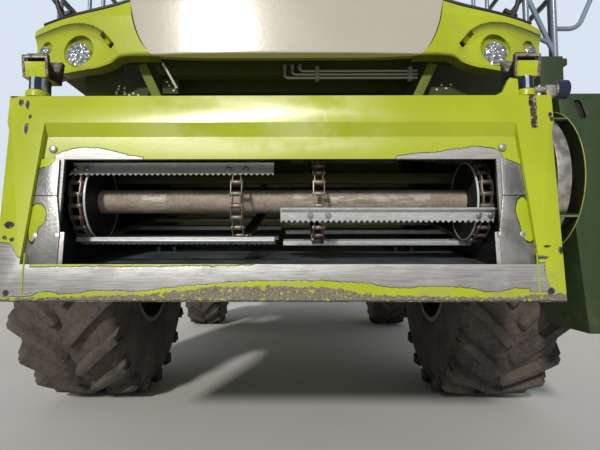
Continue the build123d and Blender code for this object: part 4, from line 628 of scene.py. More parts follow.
def evaluated(tree, points, part, material, **inputs):
    """The mesh that a tree makes from a part, with the helper objects removed again."""
    maker = bpy.data.objects.new("maker", points)
    source = bpy.data.objects.new("part", part)
    scene.collection.objects.link(maker)
    scene.collection.objects.link(source)
    modifier = maker.modifiers.new("repeat", "NODES")
    modifier.node_group = tree
    values = {"Part": source, "Material": material, **inputs}
    for item in tree.interface.items_tree:
        if item.in_out == "INPUT" and item.name in values:
            modifier[item.identifier] = values[item.name]
    mesh = evaluated_mesh(maker)
    bpy.data.objects.remove(maker)
    bpy.data.objects.remove(source)
    return mesh


def ring_of(part, material, count, phase):
    """A part, made at the top of a wheel centred on the origin, turned round the X axis."""
    return evaluated(RING, bpy.data.meshes.new("start"), part, material, Count=count, Phase=phase)


def on_spots(part, material, spots):
    """A part on (place, turn) spots; a turn is three angles."""
    points = bpy.data.meshes.new("spots")
    points.from_pydata([tuple(place_at) for place_at, turn in spots], [], [])
    turns = points.attributes.new("turn", "FLOAT_VECTOR", "POINT")
    for value, (place_at, turn) in zip(turns.data, spots):
        value.vector = turn
    return evaluated(SPOTS, points, part, material)


def joined(name, meshes, smooth=30):
    """One object from several meshes that carry their own materials."""
    bm = bmesh.new()
    materials = []
    for mesh in meshes:
        start = len(bm.faces)
        bm.from_mesh(mesh)
        bm.faces.ensure_lookup_table()
        own = list(mesh.materials)
        for m in own:
            if m not in materials:
                materials.append(m)
        for face in bm.faces[start:]:
            face.material_index = materials.index(own[face.material_index])
    return as_object(name, meshed(name, bm, *materials), smooth)


# %% Small parts that repeat
def stitch(bm, first, second):
    """Faces between two closed rings of points."""
    for i in range(len(first)):
        j = (i + 1) % len(first)
        bm.faces.new((first[i], first[j], second[j], second[i]))


def cylinder(bm, radius, depth, segments, matrix):
    """Adds a capped cylinder round a place."""
    bmesh.ops.create_cone(bm, cap_ends=True, segments=segments, radius1=radius, radius2=radius, depth=depth,
                          matrix=matrix)


def rectangle(u0, v0, u1, v1):
    return [(u0, v0), (u1, v0), (u1, v1), (u0, v1)]


def lathe(profile, material, segments=48, centre=(0, 0, 0), axis="X", closed=False):
    """A mesh turned about an axis from (along, radius) points."""
    bm = bmesh.new()
    rings = []
    for along, radius in profile:
        ring = []
        for i in range(segments):
            a = math.tau * i / segments
            u, v = radius * math.cos(a), radius * math.sin(a)
            point = {"X": (along, u, v), "Y": (v, along, u), "Z": (u, v, along)}[axis]
            ring.append(bm.verts.new(Vector(centre) + Vector(point)))
        rings.append(ring)
    pairs = list(zip(rings, rings[1:])) + ([(rings[-1], rings[0])] if closed else [])
    for first, second in pairs:
        stitch(bm, first, second)
    if not closed:
        bm.faces.new(rings[0][::-1])
        bm.faces.new(rings[-1])
    bmesh.ops.remove_doubles(bm, verts=bm.verts, dist=1e-6)
    bmesh.ops.recalc_face_normals(bm, faces=bm.faces)
    return meshed("lathe", bm, material)


def hex_bolt(size, height, material):
    """Hexagon head on a washer, standing on the XY plane."""
    bm = bmesh.new()
    cylinder(bm, size * 0.80, height * 0.2, 24, Matrix.Translation((0, 0, height * 0.1)))
    cylinder(bm, size * 0.577, height * 0.8, 6, Matrix.Translation((0, 0, height * 0.6)))
    round_edges(bm, size * 0.035, 40)
    return meshed("bolt", bm, material)


def rod(points, radius, material):
    """A round bar along a smooth line, as a mesh."""
    curve = bpy.data.curves.new("rod", "CURVE")
    curve.dimensions = "3D"
    spline = curve.splines.new("NURBS")
    spline.points.add(len(points) - 1)
    for spot, point in zip(spline.points, points):
        spot.co = (*point, 1)
    spline.order_u = 3
    spline.use_endpoint_u = True
    curve.bevel_depth = radius
    curve.bevel_resolution = 6
    curve.use_fill_caps = True
    curve.materials.append(material)
    helper = bpy.data.objects.new("rod", curve)
    mesh = bpy.data.meshes.new_from_object(helper)
    bpy.data.objects.remove(helper)
    return mesh


def moved(mesh, matrix):
    """The same mesh set somewhere else."""
    mesh = mesh.copy()
    mesh.transform(matrix)
    return mesh


def plate(outline, thickness, material, plane, edge=0.0):
    """A flat plate from 2-D points in a plane's matrix, its top on the plane, with a rounded rim."""
    bm = bmesh.new()
    face = bm.faces.new([bm.verts.new((u, v, 0)) for u, v in outline])
    out = bmesh.ops.extrude_face_region(bm, geom=[face])
    for vert in (v for v in out["geom"] if isinstance(v, bmesh.types.BMVert)):
        vert.co.z = -thickness
    bmesh.ops.recalc_face_normals(bm, faces=bm.faces)
    if edge:
        round_edges(bm, edge, 30)
    mesh = meshed("plate", bm, material)
    mesh.transform(plane)
    return mesh


def row_y(station):
    """Row Y of a station measured from the front axle."""
    return AXLE_Y + station


def facing_front(x, station, z=0.0):
    """Plane that faces the front: across, up and outward."""
    return Matrix.Translation((x, row_y(station), z)) @ Matrix.Rotation(math.pi / 2, 4, "X")


print("helpers ready; trees:", [g.name for g in bpy.data.node_groups])

# %% [markdown]
# ## The face of the feeder house
# This is the plate that the photograph looks at. It leans back by 4.8 degrees, so its wear is drawn in its
# own coordinates: x across and h up the plate from its lower edge. Each worn place is a field, in metres,
# positive inside and negative outside. A little noise makes its edge ragged, just outside the edge the
# primer shows dark, and where fields meet they simply take the greater value.

# %% Wear fields
LEAN = math.radians(4.8)
FACE_FOOT = Vector((0, AXLE_Y - 1.978, 0.867))
FACE = Matrix.Translation(FACE_FOOT) @ Matrix.Rotation(math.radians(90) - LEAN, 4, "X")

SILL_EDGE = [(-1.058, .028), (-.974, .020), (-.924, .031), (-.875, .042), (-.824, .031), (-.746, .037),
             (-.668, .045), (-.556, .042), (-.445, .053), (-.299, .065), (-.129, .079), (-.008, .082),
             (.236, .077), (.333, .072), (.463, .055), (.639, .061), (.743, .050), (.812, .038), (.871, .050),
             (.988, .056)]
BAND_LEFT = [(-.905, .578), (-.891, .592), (-.85, .607), (-.803, .613), (-.731, .610), (-.683, .601),
             (-.622, .586), (-.552, .572)]
BAND_RIGHT = [(.467, .572), (.487, .582), (.593, .592), (.674, .601), (.737, .610), (.799, .616),
              (.843, .613), (.873, .601), (.89, .585)]
SILL_TOP = [(-1.09, .133), (-.60, .133), (-.25, .135), (.05, .146), (1.09, .146)]
MUD = [(-1.09, .012), (-.90, .018), (-.70, .022), (-.50, .030), (-.35, .046), (-.20, .058), (.0, .060),
       (.20, .052), (.36, .030), (.60, .022), (.85, .020), (1.0, .030), (1.09, .034)]
POST_LEFT = [(-1.085, .224), (-1.044, .221), (-1.019, .194), (-.993, .163), (-.982, .191), (-.955, .180)]
POST_RIGHT = [(.953, .196), (.98, .167), (1.001, .143), (1.007, .108), (.985, .056), (1.04, .030)]
CHIPS = [(-1.078, .825, .012, .006), (-1.049, .797, .008, .010), (-1.021, .786, .006, .014),
         (-1.007, .737, .007, .008), (-1.018, .685, .006, .016), (-1.046, .294, .017, .012),
         (-1.061, .245, .008, .006), (-1.031, .237, .007, .005), (-1.034, .033, .012, .012),
         (1.084, .742, .006, .007), (1.089, .723, .005, .006), (.977, .211, .008, .006),
         (1.028, .211, .010, .004), (1.08, .196, .008, .010), (1.0, .168, .016, .003),
         (1.028, .041, .012, .012)]


def face_axes(f):
    """How high up the leaning plate and how deep behind it a point lies."""
    along = f.y - FACE_FOOT.y
    up = f.z - FACE_FOOT.z
    sine, cosine = math.sin(LEAN), math.cos(LEAN)
    return along * sine + up * cosine, along * cosine - up * sine


def between(value, low, high):
    """Field of a strip."""
    return (value - low).least(-value + high)


def worn_through(f, paint, field, chips, rim=0.0045):
    """Paint with bare steel where a field is positive, dark in the chips, and a dark rim round it."""
    scratch = f.noise(26, 6, (0.35, 9, 9))
    stain = f.noise(15, 7, (0.5, 2, 2)) * 0.6 + f.noise(120, 4, (0.5, 1, 1)) * 0.4
    bright = f.mix(scratch.rise(0.36, 0.62), times(STEEL, 0.72), STEEL)
    metal = f.mix(stain.rise(0.5375, 0.80) * 0.55, bright, (0.20, 0.165, 0.135))
    nicks = f.cells(55, (0.5, 1, 1)).rise(0.11, 0.07) * f.noise(7, 2).rise(0.54, 0.60)
    metal = f.mix(nicks * 0.8, metal, (0.03, 0.028, 0.026))
    chipped = f.cloudy(70, 4, 0.60, 0.70, (0.016, 0.015, 0.014), (0.20, 0.16, 0.13))
    metal = f.mix(chips.rise(-0.001, 0.001), metal, chipped)
    bare = field.rise(-0.0006, 0.0010)
    edge = field.rise(-rim, -rim * 0.25)
    f.colour(f.mix(bare, f.mix(edge, paint, PRIMER), metal))
    f.metallic(bare * stain.rise(0.80, 0.60) * chips.rise(0.001, -0.001) * 0.55)
    return bare, edge


# %% The face's paint
def face_paint():
    f = Finish("face_enamel", roughness=0.28, Coat_Weight=0.3, Coat_Roughness=0.10)
    h, depth = face_axes(f)
    ragged = (f.noise(70, 5) - 0.5) * 0.010 + (f.noise(17, 5) - 0.5) * 0.016
    front = (-depth + 0.004) * 4.0
    recess = between(depth, 0.020, 0.036) * 4.0
    band = between(f.x, -0.905, -0.552).least(-h + f.x.curve(BAND_LEFT))
    band = band.most(between(f.x, 0.467, 0.890).least(-h + f.x.curve(BAND_RIGHT)))
    band = band.least(recess)
    sill = between(f.x, -1.070, 1.010).least((-h + f.x.curve(SILL_TOP)).least(h - f.x.curve(SILL_EDGE)))
    posts = between(f.x, -1.09, -0.95).least(-h + f.x.curve(POST_LEFT)).least(h - 0.03)
    right = between(f.x, 0.95, 1.04).least(-h + f.x.curve(POST_RIGHT)).least(h - 0.04)
    chips = f.spots(f.x, h, CHIPS)
    edges = (-h + 0.002).most(f.noise(30, 4) * 0.06 - 0.042).least(-h + 0.014)
    field = sill.most(posts).most(right).least(front).most(band).most(chips).most(edges) + ragged * 0.9
    # painted sun sheen on the middle of the beam and its band, tone and field dust
    sheen_patch = between(f.x, -0.72, 0.52).rise(0.0, 0.34) * h.rise(0.55, 0.62)
    cloud = (f.noise(3.4, 5, (1, 2.5, 2.5)) * 0.7 + f.noise(19, 4) * 0.3).rise(0.40, 0.60)
    tone = f.cloudy(2.6, 4, 0.35, 0.70, times(LIME, 0.86), LIME)
    faded = f.mix(sheen_patch * cloud * 0.70, tone, LIME_SHEEN)
    drips = f.noise(36, 4, (3, 0.35, 0.35)).rise(0.60, 0.74) * h.rise(0.80, 0.60) * 0.22
    soiled = f.noise(12, 6).rise(0.42, 0.70) * h.rise(0.34, 0.02) * 0.45 + drips
    mud = (-h + f.x.curve(MUD) + (f.noise(55, 6) - 0.5) * 0.030).rise(-0.002, 0.004)
    mud = mud * f.noise(60, 5).rise(0.32, 0.42)
    paint = f.mix(soiled + f.noise(150, 2).rise(0.66, 0.76) * 0.12, faded, DUST)
    soil = f.cloudy(160, 4, 0.38, 0.62, (0.105, 0.085, 0.072), (0.235, 0.195, 0.165))
    soil = f.mix(h.rise(0.009, 0.004), soil, (0.012, 0.011, 0.010))
    paint = f.mix(mud * 0.94, paint, soil)
    stripe = between(f.x, 1.004, 1.032).least(between(h, 0.685, 0.832)) + ragged * 1.2
    crust = f.noise(85, 5)
    crusted = f.mix(crust.rise(0.36, 0.46), (0.34, 0.27, 0.20), (0.075, 0.048, 0.032))
    crusted = f.mix(crust.rise(0.52, 0.60), crusted, (0.012, 0.011, 0.010))
    paint = f.mix(stripe.rise(-0.001, 0.003), paint, crusted)
    # painted shade: near-black green on the opening's side faces and under the top beam
    wide = f.x.op("ABSOLUTE")
    jamb_shade = f.nx.op("ABSOLUTE").rise(0.5, 0.7) * wide.rise(0.94, 0.93)
    jamb_shade = jamb_shade * between(h, 0.10, 0.66).rise(-0.01, 0.0)
    lintel_shade = f.nz.rise(-0.5, -0.7) * between(h, 0.45, 0.75).rise(-0.01, 0.0)
    paint = f.mix(jamb_shade.most(lintel_shade), paint, (0.016, 0.018, 0.010))
    bare, edge = worn_through(f, paint, field, chips.most(edges))
    f.roughness(soiled.op("MULTIPLY_ADD", 0.5, 0.27) + bare * 0.12)
    f.bump(f.noise(60, 2) * 0.12 - edge + f.noise(190, 3) * 0.25, 0.0009)
    return f.material


face_frame = softened("face_frame", 0.0035, "green_paint", face_paint())


def corner_metal():
    """Small bare plate with a rest of enamel."""
    f = Finish("corner_plate", roughness=0.38)
    h, depth = face_axes(f)
    ragged = (f.noise(80, 5) - 0.5) * 0.014
    field = f.spots(f.x, h, [(-0.943, 0.222, 0.040, 0.046), (0.942, 0.242, 0.050, 0.042)]) + ragged
    stain = f.noise(24, 6)
    steel = f.mix(stain.rise(0.44, 0.70), (0.42, 0.41, 0.395), (0.24, 0.21, 0.18))
    painted = field.rise(-0.0006, 0.001)
    f.colour(f.mix(painted, f.mix(field.rise(-0.005, -0.001), steel, PRIMER), times(LIME, 0.9)))
    f.metallic(painted * -0.15 + 0.15)
    f.bump(f.noise(120, 4), 0.0005)
    return f.material


RIVETS = [(-0.915, 0.608), (-0.955, 0.253), (-0.870, 0.253), (0.894, 0.613), (0.864, 0.260), (0.947, 0.260)]
corner = corner_metal()
small = []
for x0, x1 in ((-0.972, -0.841), (0.841, 0.972)):
    behind_face = FACE @ Matrix.Translation((0, 0, -0.022))
    small.append(plate(rectangle(x0, 0.136, x1, 0.270), 0.005, corner, behind_face, 0.0015))
dome = lathe([(-0.004, 0.0158), (0.0, 0.0155), (0.005, 0.0115), (0.0078, 0.0)], bolt_steel, 24, axis="Z")
rivet_turn = (math.radians(90) - LEAN, 0, 0)
small.append(on_spots(dome, bolt_steel, [(FACE @ Vector((x, h, -0.021)), rivet_turn) for x, h in RIVETS]))
BEAD_HEIGHTS = (0.03, 0.07, 0.11, 0.15, 0.185)
for x in (-0.975, 0.985):
    bead = [FACE @ Vector((x + 0.0012 * math.sin(i * 2.4), h, 0.0005)) for i, h in enumerate(BEAD_HEIGHTS)]
    small.append(rod(bead, 0.0032, lime))
place(joined("face_fittings", small), "feeder", "bare_steel")
print("face:", len(face_frame.data.polygons), "faces")

# %% [markdown]
# ## The conveyor
# Four roller chains run round a drum at the front and a shaft at the rear, and carry two rows of toothed
# angle bars. Everything on a chain is placed by its travel along the loop, as in the CAD model, so that the
# bars stand where the model's bars stand.

# %% The chain's loop
DRUM = (-1.640, 1.290)
SHAFT = (-0.430, 1.560)
LOOP_R = 0.180
RUN_LENGTH = math.dist(DRUM, SHAFT)
LOOP = 2 * RUN_LENGTH + math.tau * LOOP_R
ALONG = Vector((0, SHAFT[0] - DRUM[0], SHAFT[1] - DRUM[1])).normalized()
UP = Vector((0, -ALONG.z, ALONG.y))
drum = Vector((0, row_y(DRUM[0]), DRUM[1]))
shaft = Vector((0, row_y(SHAFT[0]), SHAFT[1]))


def on_loop(travel):
    """Centre-line point of the loop and its outward direction, from the drum's front upwards."""
    half = math.pi * LOOP_R
    travel %= LOOP
    if half / 2 <= travel < half / 2 + RUN_LENGTH:
        return drum + ALONG * (travel - half / 2) + UP * LOOP_R, UP
    if 1.5 * half + RUN_LENGTH <= travel < 1.5 * half + 2 * RUN_LENGTH:
        return shaft - ALONG * (travel - 1.5 * half - RUN_LENGTH) - UP * LOOP_R, -UP
    if travel < half / 2:
        centre, angle = drum, math.pi - travel / LOOP_R
    elif travel < 1.5 * half + RUN_LENGTH:
        centre, angle = shaft, math.pi / 2 - (travel - half / 2 - RUN_LENGTH) / LOOP_R
    else:
        centre, angle = drum, -math.pi / 2 - (travel - 1.5 * half - 2 * RUN_LENGTH) / LOOP_R
    out = ALONG * math.cos(angle) + UP * math.sin(angle)
    return centre + out * LOOP_R, out


def loop_turn(out):
    """Turn about X that sets a part made on the XY plane square to the loop, its +Y along the travel."""
    return math.atan2(-out.y, out.z)


# %% Chain links
def link(pitch, half_width, sheet, height, roller):
    """Two side plates on two pins, with a roller on each if one is given. Made on the XY plane."""
    bm = bmesh.new()
    outline = []
    for i in range(20):
        a = math.tau * i / 20
        centre = pitch / 2 if math.cos(a) > 0 else -pitch / 2
        outline.append((centre + height / 2 * math.cos(a), height / 2 * math.sin(a)))
    for side in (-1, 1):
        x0 = side * half_width
        rings = [[bm.verts.new((x, along, up)) for along, up in outline] for x in (x0, x0 + side * sheet)]
        bm.faces.new(rings[0])
        bm.faces.new(rings[1])
        stitch(bm, *rings)
    if roller:
        spans = [(half_width + sheet * 2.2, roller * 0.5), (half_width * 0.96, roller)]
    else:
        spans = [(half_width + sheet * 1.6, height * 0.22)]
    for along in (-pitch / 2, pitch / 2):
        lying = Matrix.Translation((0, along, 0)) @ Matrix.Rotation(math.pi / 2, 4, "Y")
        for reach, radius in spans:
            cylinder(bm, radius, 2 * reach, 16, lying)
    round_edges(bm, 0.0007, 50)
    bmesh.ops.recalc_face_normals(bm, faces=bm.faces)
    return meshed("link", bm, chain_steel)


CHAIN_X = (-0.860, -0.185, 0.160, 0.860)
LINKS = 36
LINK_PITCH = LOOP / (2 * LINKS)
outer_spots, inner_spots = [], []
for x in CHAIN_X:
    for i in range(2 * LINKS):
        spot, out = on_loop((i + 0.5) * LINK_PITCH)
        spot.x = x
        (outer_spots if i % 2 else inner_spots).append((spot, (loop_turn(out), 0, 0)))
outer_links = on_spots(link(LINK_PITCH, 0.0205, 0.0045, 0.027, 0), chain_steel, outer_spots)
inner_links = on_spots(link(LINK_PITCH, 0.0150, 0.0045, 0.024, 0.0105), chain_steel, inner_spots)


# %% Toothed bars
SLATS = ((CHAIN_X[0] - 0.028, -0.030, 0.50), (0.0, CHAIN_X[3] + 0.028, 0.93))
SLAT_COUNT = 11
BASE = 0.013  # how far outside the chain's centre line the plate lies
TOOTH_PITCH = 0.0232
TOOTH_TIP, TOOTH_ROOT, BAR_TOP = -0.0448, -0.0355, 0.0192
BAR_SHEET = 0.005


def toothed_bar(width):
    """Angle bar with a saw-toothed lower edge, made on the XY plane from x = 0."""
    bm = bmesh.new()
    teeth = round(width / TOOTH_PITCH)
    step = width / teeth
    outline = [(0.0, BAR_TOP), (0.0, TOOTH_TIP)]
    for i in range(teeth):
        for share, edge in ((0.12, TOOTH_TIP), (0.42, TOOTH_ROOT), (0.58, TOOTH_ROOT), (0.88, TOOTH_TIP)):
            outline.append(((i + share) * step, edge))
    outline += [(width, TOOTH_TIP), (width, BAR_TOP)]
    flange = rectangle(0.0, 0.0142, width, BAR_TOP)
    for z0, z1, points in ((0.0, BAR_SHEET, outline), (BAR_SHEET, 0.020, flange)):
        low = [bm.verts.new((u, v, z0)) for u, v in points]
        high = [bm.verts.new((u, v, z1)) for u, v in points]
        bm.faces.new(low)
        bm.faces.new(high)
        stitch(bm, low, high)
    bmesh.ops.recalc_face_normals(bm, faces=bm.faces)
    round_edges(bm, 0.0007, 50)
    return meshed("bar", bm, slat_steel)


bars, bolts, tabs = [], [], []
for x0, x1, phase in SLATS:
    spots = []
    for i in range(SLAT_COUNT):
        spot, out = on_loop((i + phase) * LOOP / SLAT_COUNT)
        turn = (loop_turn(out), 0, 0)
        along = Vector((0, out.z, -out.y))
        seat = spot + out * BASE
        spots.append((Vector((x0, seat.y, seat.z)), turn))
        for x in (chain for chain in CHAIN_X if x0 < chain < x1):
            for side in (-1, 1):
                bolt_x = min(max(x + side * 0.037, x0 + 0.016), x1 - 0.016)
                head = seat + out * 0.005 - along * 0.012
                bolts.append((Vector((bolt_x, head.y, head.z)), turn))
                foot = seat - along * 0.012 - out * 0.005
                tabs.append((Vector((bolt_x, foot.y, foot.z)), turn))
    bars.append(on_spots(toothed_bar(x1 - x0), slat_steel, spots))
slat_bolts = on_spots(hex_bolt(0.017, 0.011, bolt_steel), bolt_steel, bolts)
tab = plate(rectangle(-0.026, -0.017, 0.026, 0.017), 0.005, chain_steel, Matrix.Translation((0, 0, 0.005)),
            0.0012)
slat_tabs = on_spots(tab, chain_steel, tabs)


# %% Drum, discs and shafts
def drum_metal():
    """Brown dust on a tube that the crop polishes in two bands, painted brighter as a highlight."""
    f = Finish("drum_tube", roughness=0.62, metallic=0.1)
    cloud = f.noise(13, 6, (0.7, 2, 2)) * 0.6 + f.noise(70, 4) * 0.4
    brown = f.mix(cloud.rise(0.38, 0.62), (0.235, 0.190, 0.145), (0.345, 0.295, 0.240))
    polish_and_highlight = between(f.x, 0.05, 0.66).most(between(f.x, -0.63, -0.52)).rise(-0.004, 0.006)
    bright = polish_and_highlight * f.noise(30, 6, (0.6, 3, 3)).rise(0.42, 0.60) * 0.75
    f.colour(f.mix(bright, brown, (0.50, 0.47, 0.42)))
    f.metallic(bright * 0.5)
    pits = f.cells(150).rise(0.10, 0.03) * f.noise(22, 3).rise(0.5, 0.6)
    f.bump(f.noise(80, 5) - pits, 0.0012)
    return f.material


tube = drum_metal()
turned = [
    lathe([(-0.8945, 0.0505), (-0.8935, 0.0530), (0.8935, 0.0530), (0.8945, 0.0505)], tube, 64, drum),
    lathe([(-0.8997, 0.030), (0.8997, 0.030)], drum_steel, 32, drum),
    lathe([(-0.8997, 0.035), (0.8997, 0.035)], drum_steel, 32, shaft),
]
for x in CHAIN_X:
    wide = abs(x) > 0.5
    radius = 0.172 if wide else 0.060
    shift = -0.034 * (1 if x > 0 else -1) if wide else 0.0
    at = x + shift
    disc = [(at - 0.003, radius - 0.002), (at - 0.002, radius), (at + 0.002, radius),
            (at + 0.003, radius - 0.002)]
    # the wide discs beside the outer chains are black iron: painted shade at the channel's sides
    turned.append(lathe(disc, iron_black if wide else chain_steel, 96, drum))
    if wide:
        hoop = [(at - 0.004, radius), (at - 0.004, radius + 0.004), (at + 0.004, radius + 0.004),
                (at + 0.004, radius)]
        turned.append(lathe(hoop, slat_steel, 96, drum, closed=True))
    sprocket = [(x - 0.010, 0.050), (x - 0.010, 0.118), (x - 0.004, 0.1475), (x + 0.004, 0.1475),
                (x + 0.010, 0.118), (x + 0.010, 0.050)]
    turned.append(lathe(sprocket, iron, 40, shaft))
    if wide:
        turned.append(lathe(sprocket, iron, 40, drum))
conveyor = joined("conveyor_chains", [outer_links, *turned])
place(conveyor, "feeder", "dark_steel", "conveyor")
inner_chains = joined("conveyor_inner_links", [inner_links])
place(inner_chains, "feeder", "dark_steel")
slats = joined("conveyor_slats", [*bars, slat_bolts, slat_tabs])
place(slats, "feeder", "bare_steel")
for piece in (conveyor, inner_chains, slats):
    print(piece.name, triangles(piece), "triangles")

# %% [markdown]
# ## The channel round it
# Outside the channel is enamel. Inside, the crop has rubbed the floor to steel with rust patches, its blue
# tint a painted reflection of the sky, while walls, ceiling and cross tie are painted dark as shade.

# %% Channel and fill plates
def channel_sheet():
    f = Finish("channel_sheet", roughness=0.42)
    side = f.x.op("ABSOLUTE")
    station = f.y - AXLE_Y
    wall = side.rise(0.9065, 0.9055)
    floor_line = station * 0.166 + 1.290
    under = (f.z - floor_line).rise(0.040, 0.030) * f.nz.rise(0.2, 0.5)
    over = f.nz.rise(-0.2, -0.5) * (f.z - floor_line).rise(0.20, 0.25)
    inner_wall = f.nz.op("ABSOLUTE").rise(0.5, 0.3) * wall * station.rise(-1.965, -1.955)
    inner_wall = inner_wall * side.rise(0.886, 0.890)
    tie = between(station, -1.475, -1.440).least(between(f.z, 1.395, 1.455))
    tie = tie.least(between(f.x, -0.9, 0.9)).rise(-0.003, 0.0)
    lugs = between(f.z - floor_line, -0.030, 0.34).least(between(side, -0.01, 0.88)).rise(0.0, 0.002)
    lugs = lugs * station.rise(-1.96, -1.95)
    inside = (under + over + inner_wall + tie + lugs).op("MINIMUM", 1.0)
    paint = f.cloudy(2.2, 4, 0.35, 0.68, times(LIME, 0.68), times(LIME, 0.85))
    soiled = f.noise(7, 6).rise(0.40, 0.66) * 0.7 + f.nz.rise(0.3, 0.9) * 0.35
    outside = f.mix(soiled.op("MINIMUM", 0.9), paint, DUST)
    streak = f.noise(6, 6, (1, 7, 1))
    # rubbed floor steel; its blue tint is a painted reflection of the sky
    steel = f.mix(streak.rise(0.36, 0.64), (0.12, 0.14, 0.17), (0.38, 0.42, 0.47))
    rusty = f.noise(6, 5, (1, 2.5, 1), 3.0).rise(0.56, 0.66) * f.noise(60, 4).rise(0.40, 0.60)
    rubbed_floor_sky_tint = f.mix(rusty * 0.8, steel, (0.17, 0.095, 0.055))
    # painted shade: walls and ceiling near black, the cross tie dim green
    walls_painted_shade = f.mix(f.noise(6, 5).rise(0.42, 0.66) * 0.6, (0.006, 0.008, 0.011), (0.016, 0.020, 0.012))
    f.colour(f.mix(inside, outside, f.mix(tie, f.mix(under, walls_painted_shade, rubbed_floor_sky_tint), (0.045, 0.055, 0.006))))
    f.metallic(under * 0.75)
    f.roughness(under * -0.12 + 0.46)
    f.bump(f.noise(60, 4), 0.0008)
    return f.material


feeder_channel = softened("feeder_channel", 0.002, "green_paint", channel_sheet())


def plate_metal():
    """Bare wear plate with rests of enamel at the top and the foot."""
    f = Finish("wear_plate", roughness=0.34)
    h, depth = face_axes(f)
    side = f.x.op("ABSOLUTE")
    ragged = (f.noise(60, 5) - 0.5) * 0.010
    top_left = h - f.x.curve([(-0.966, .520), (-.955, .528), (-.929, .534), (-.89, .561), (-.86, .600)])
    top_right = h - f.x.curve([(.85, .60), (.88, .572), (.904, .564), (.94, .548), (.96, .54)])
    foot_left = f.spots(f.x, h, [(-.950, .335, .034, .046), (-.962, .300, .020, .070)])
    foot_right = f.spots(f.x, h, [(.952, .350, .026, .056), (.968, .310, .030, .080)])
    field = top_left.least(-f.x).most(top_right.least(f.x)).most(foot_left).most(foot_right) + ragged
    shade = f.cloudy(8, 5, 0.35, 0.65, (0.20, 0.205, 0.205), (0.36, 0.355, 0.34))
    paint = f.cloudy(3, 3, 0.3, 0.7, times(LIME, 0.8), LIME)
    painted = field.rise(-0.0006, 0.0010)
    rim = field.rise(-0.004, -0.001)
    stain = f.noise(19, 7) * 0.6 + f.noise(90, 4) * 0.4
    metal = f.mix(stain.rise(0.55, 0.74) * 0.8, shade, (0.17, 0.115, 0.070))
    crease = (h - 0.414).op("ABSOLUTE").rise(0.0022, 0.0010) * side.rise(0.860, 0.865)
    f.colour(f.mix(crease, f.mix(painted, f.mix(rim, metal, PRIMER), paint), (0.03, 0.03, 0.03)))
    f.metallic(painted.op("MULTIPLY_ADD", -1.0, 1.0) * stain.rise(0.72, 0.52) * 0.8)
    f.bump(f.noise(90, 4) - crease * 2.0, 0.0008)
    return f.material


fill_plates = softened("fill_plates", 0.0025, "bare_steel", plate_metal())
print("channel:", len(feeder_channel.data.polygons), "plates:", len(fill_plates.data.polygons))

# %% [markdown]
# ## Wheels
# A drive tyre is a smooth casing with two rows of bars that lean towards its middle and meet the ground point
# first. One bar is swept along a slightly bent line with a flat top and sloping flanks, and Geometry Nodes
# turns it round the axle, the second row half a pitch later.

# %% Tyres
TYRES = {  # radius, width, rim radius, bar height, bars in a row, centre of the left one
    "front": (0.960, 0.680, 0.406, 0.048, 21, (1.405, row_y(0), 0.960)),
    "rear": (0.655, 0.500, 0.305, 0.038, 18, (1.425, row_y(3.750), 0.655)),
}
BULGE = [(0.905, 0.11), (0.962, 0.24), (0.990, 0.38), (0.998, 0.52), (0.990, 0.66), (0.968, 0.78),
         (0.930, 0.885), (0.870, 0.945)]  # shares of the half width and of the wall's height


def casing(radius, width, rim, bar):
    """The tyre's casing, with a bead, a bulging wall, a shoulder and a crowned tread."""
    half, base, bead = width / 2, radius - bar, rim + 0.0003
    depth = base - bead
    wall = [(half - 0.0572, bead), (half - 0.0572, bead + 0.022), (half - 0.046, bead + 0.030)]
    wall += [(half * wide, bead + high * depth) for wide, high in BULGE]
    wall += [(half * 0.78, base - 0.008), (half * 0.50, base - 0.002), (0.0, base)]
    profile = wall + [(-along, r) for along, r in wall[-2::-1]]
    return lathe(profile, tyre, 120, closed=True)


def tread_bar(radius, width, bar, side):
    """One bar at the top of the wheel, from beside the middle over the shoulder."""
    reach = width / 2
    length = 0.97 * reach * 0.91
    stations = []
    for s in (0.0, 0.04, 0.2, 0.4, 0.6, 0.8, 0.93, 1.0, 1.03, 1.05):
        x = 0.045 * reach + min(s, 1.0) * 0.905 * reach + max(0.0, s - 1.0) * 0.35 * reach
        t = length * (-0.5 + 1.22 * min(s, 1.0) - 0.22 * min(s, 1.0) ** 2)
        top = radius - 0.0012 - 0.010 * min(s, 1.0) ** 3 - bar * max(0.0, s - 0.93) * 7.5
        if s == 0.0:
            top -= 0.35 * bar
        stations.append((x, t, top, 0.0245 * bar / 0.048, 0.050 * bar / 0.048))
    bm = bmesh.new()
    rings = []
    for i, (x, t, top, half_top, half_foot) in enumerate(stations):
        nearest = stations[max(i - 1, 0)], stations[min(i + 1, len(stations) - 1)]
        along = Vector((nearest[1][0] - nearest[0][0], nearest[1][1] - nearest[0][1]))
        along = along.normalized() if along.length else Vector((1, 1)).normalized()
        across = Vector((-along.y, along.x))
        foot = radius - bar - 0.016 - 0.06 * (x / reach) ** 4
        ring = []
        for offset, r in ((-half_foot, foot), (-half_top, top), (half_top, top), (half_foot, foot)):
            px, pt = x + across.x * offset, t + across.y * offset
            angle = -pt / (radius - bar)
            px = side * min(max(px, 0.004), reach * 0.996)
            ring.append(bm.verts.new((px, -r * math.sin(angle), r * math.cos(angle))))
        rings.append(ring)
    for first, second in zip(rings, rings[1:]):
        stitch(bm, first, second)
    bm.faces.new(rings[0])
    bm.faces.new(rings[-1])
    bmesh.ops.recalc_face_normals(bm, faces=bm.faces)
    round_edges(bm, 0.0045, 34)
    return meshed("bar", bm, tyre)


def both_sides(centre, meshes):
    """Left and right: the name, and the meshes set round a wheel's centre on that side."""
    for side, name in SIDES:
        shift = Matrix.Translation((side * centre[0], centre[1], centre[2]))
        flip = Matrix.Scale(side, 4, (1, 0, 0))
        there = [moved(mesh, shift @ flip) for mesh in meshes]
        if side < 0:
            for mesh in there:
                mesh.flip_normals()
        yield name, there


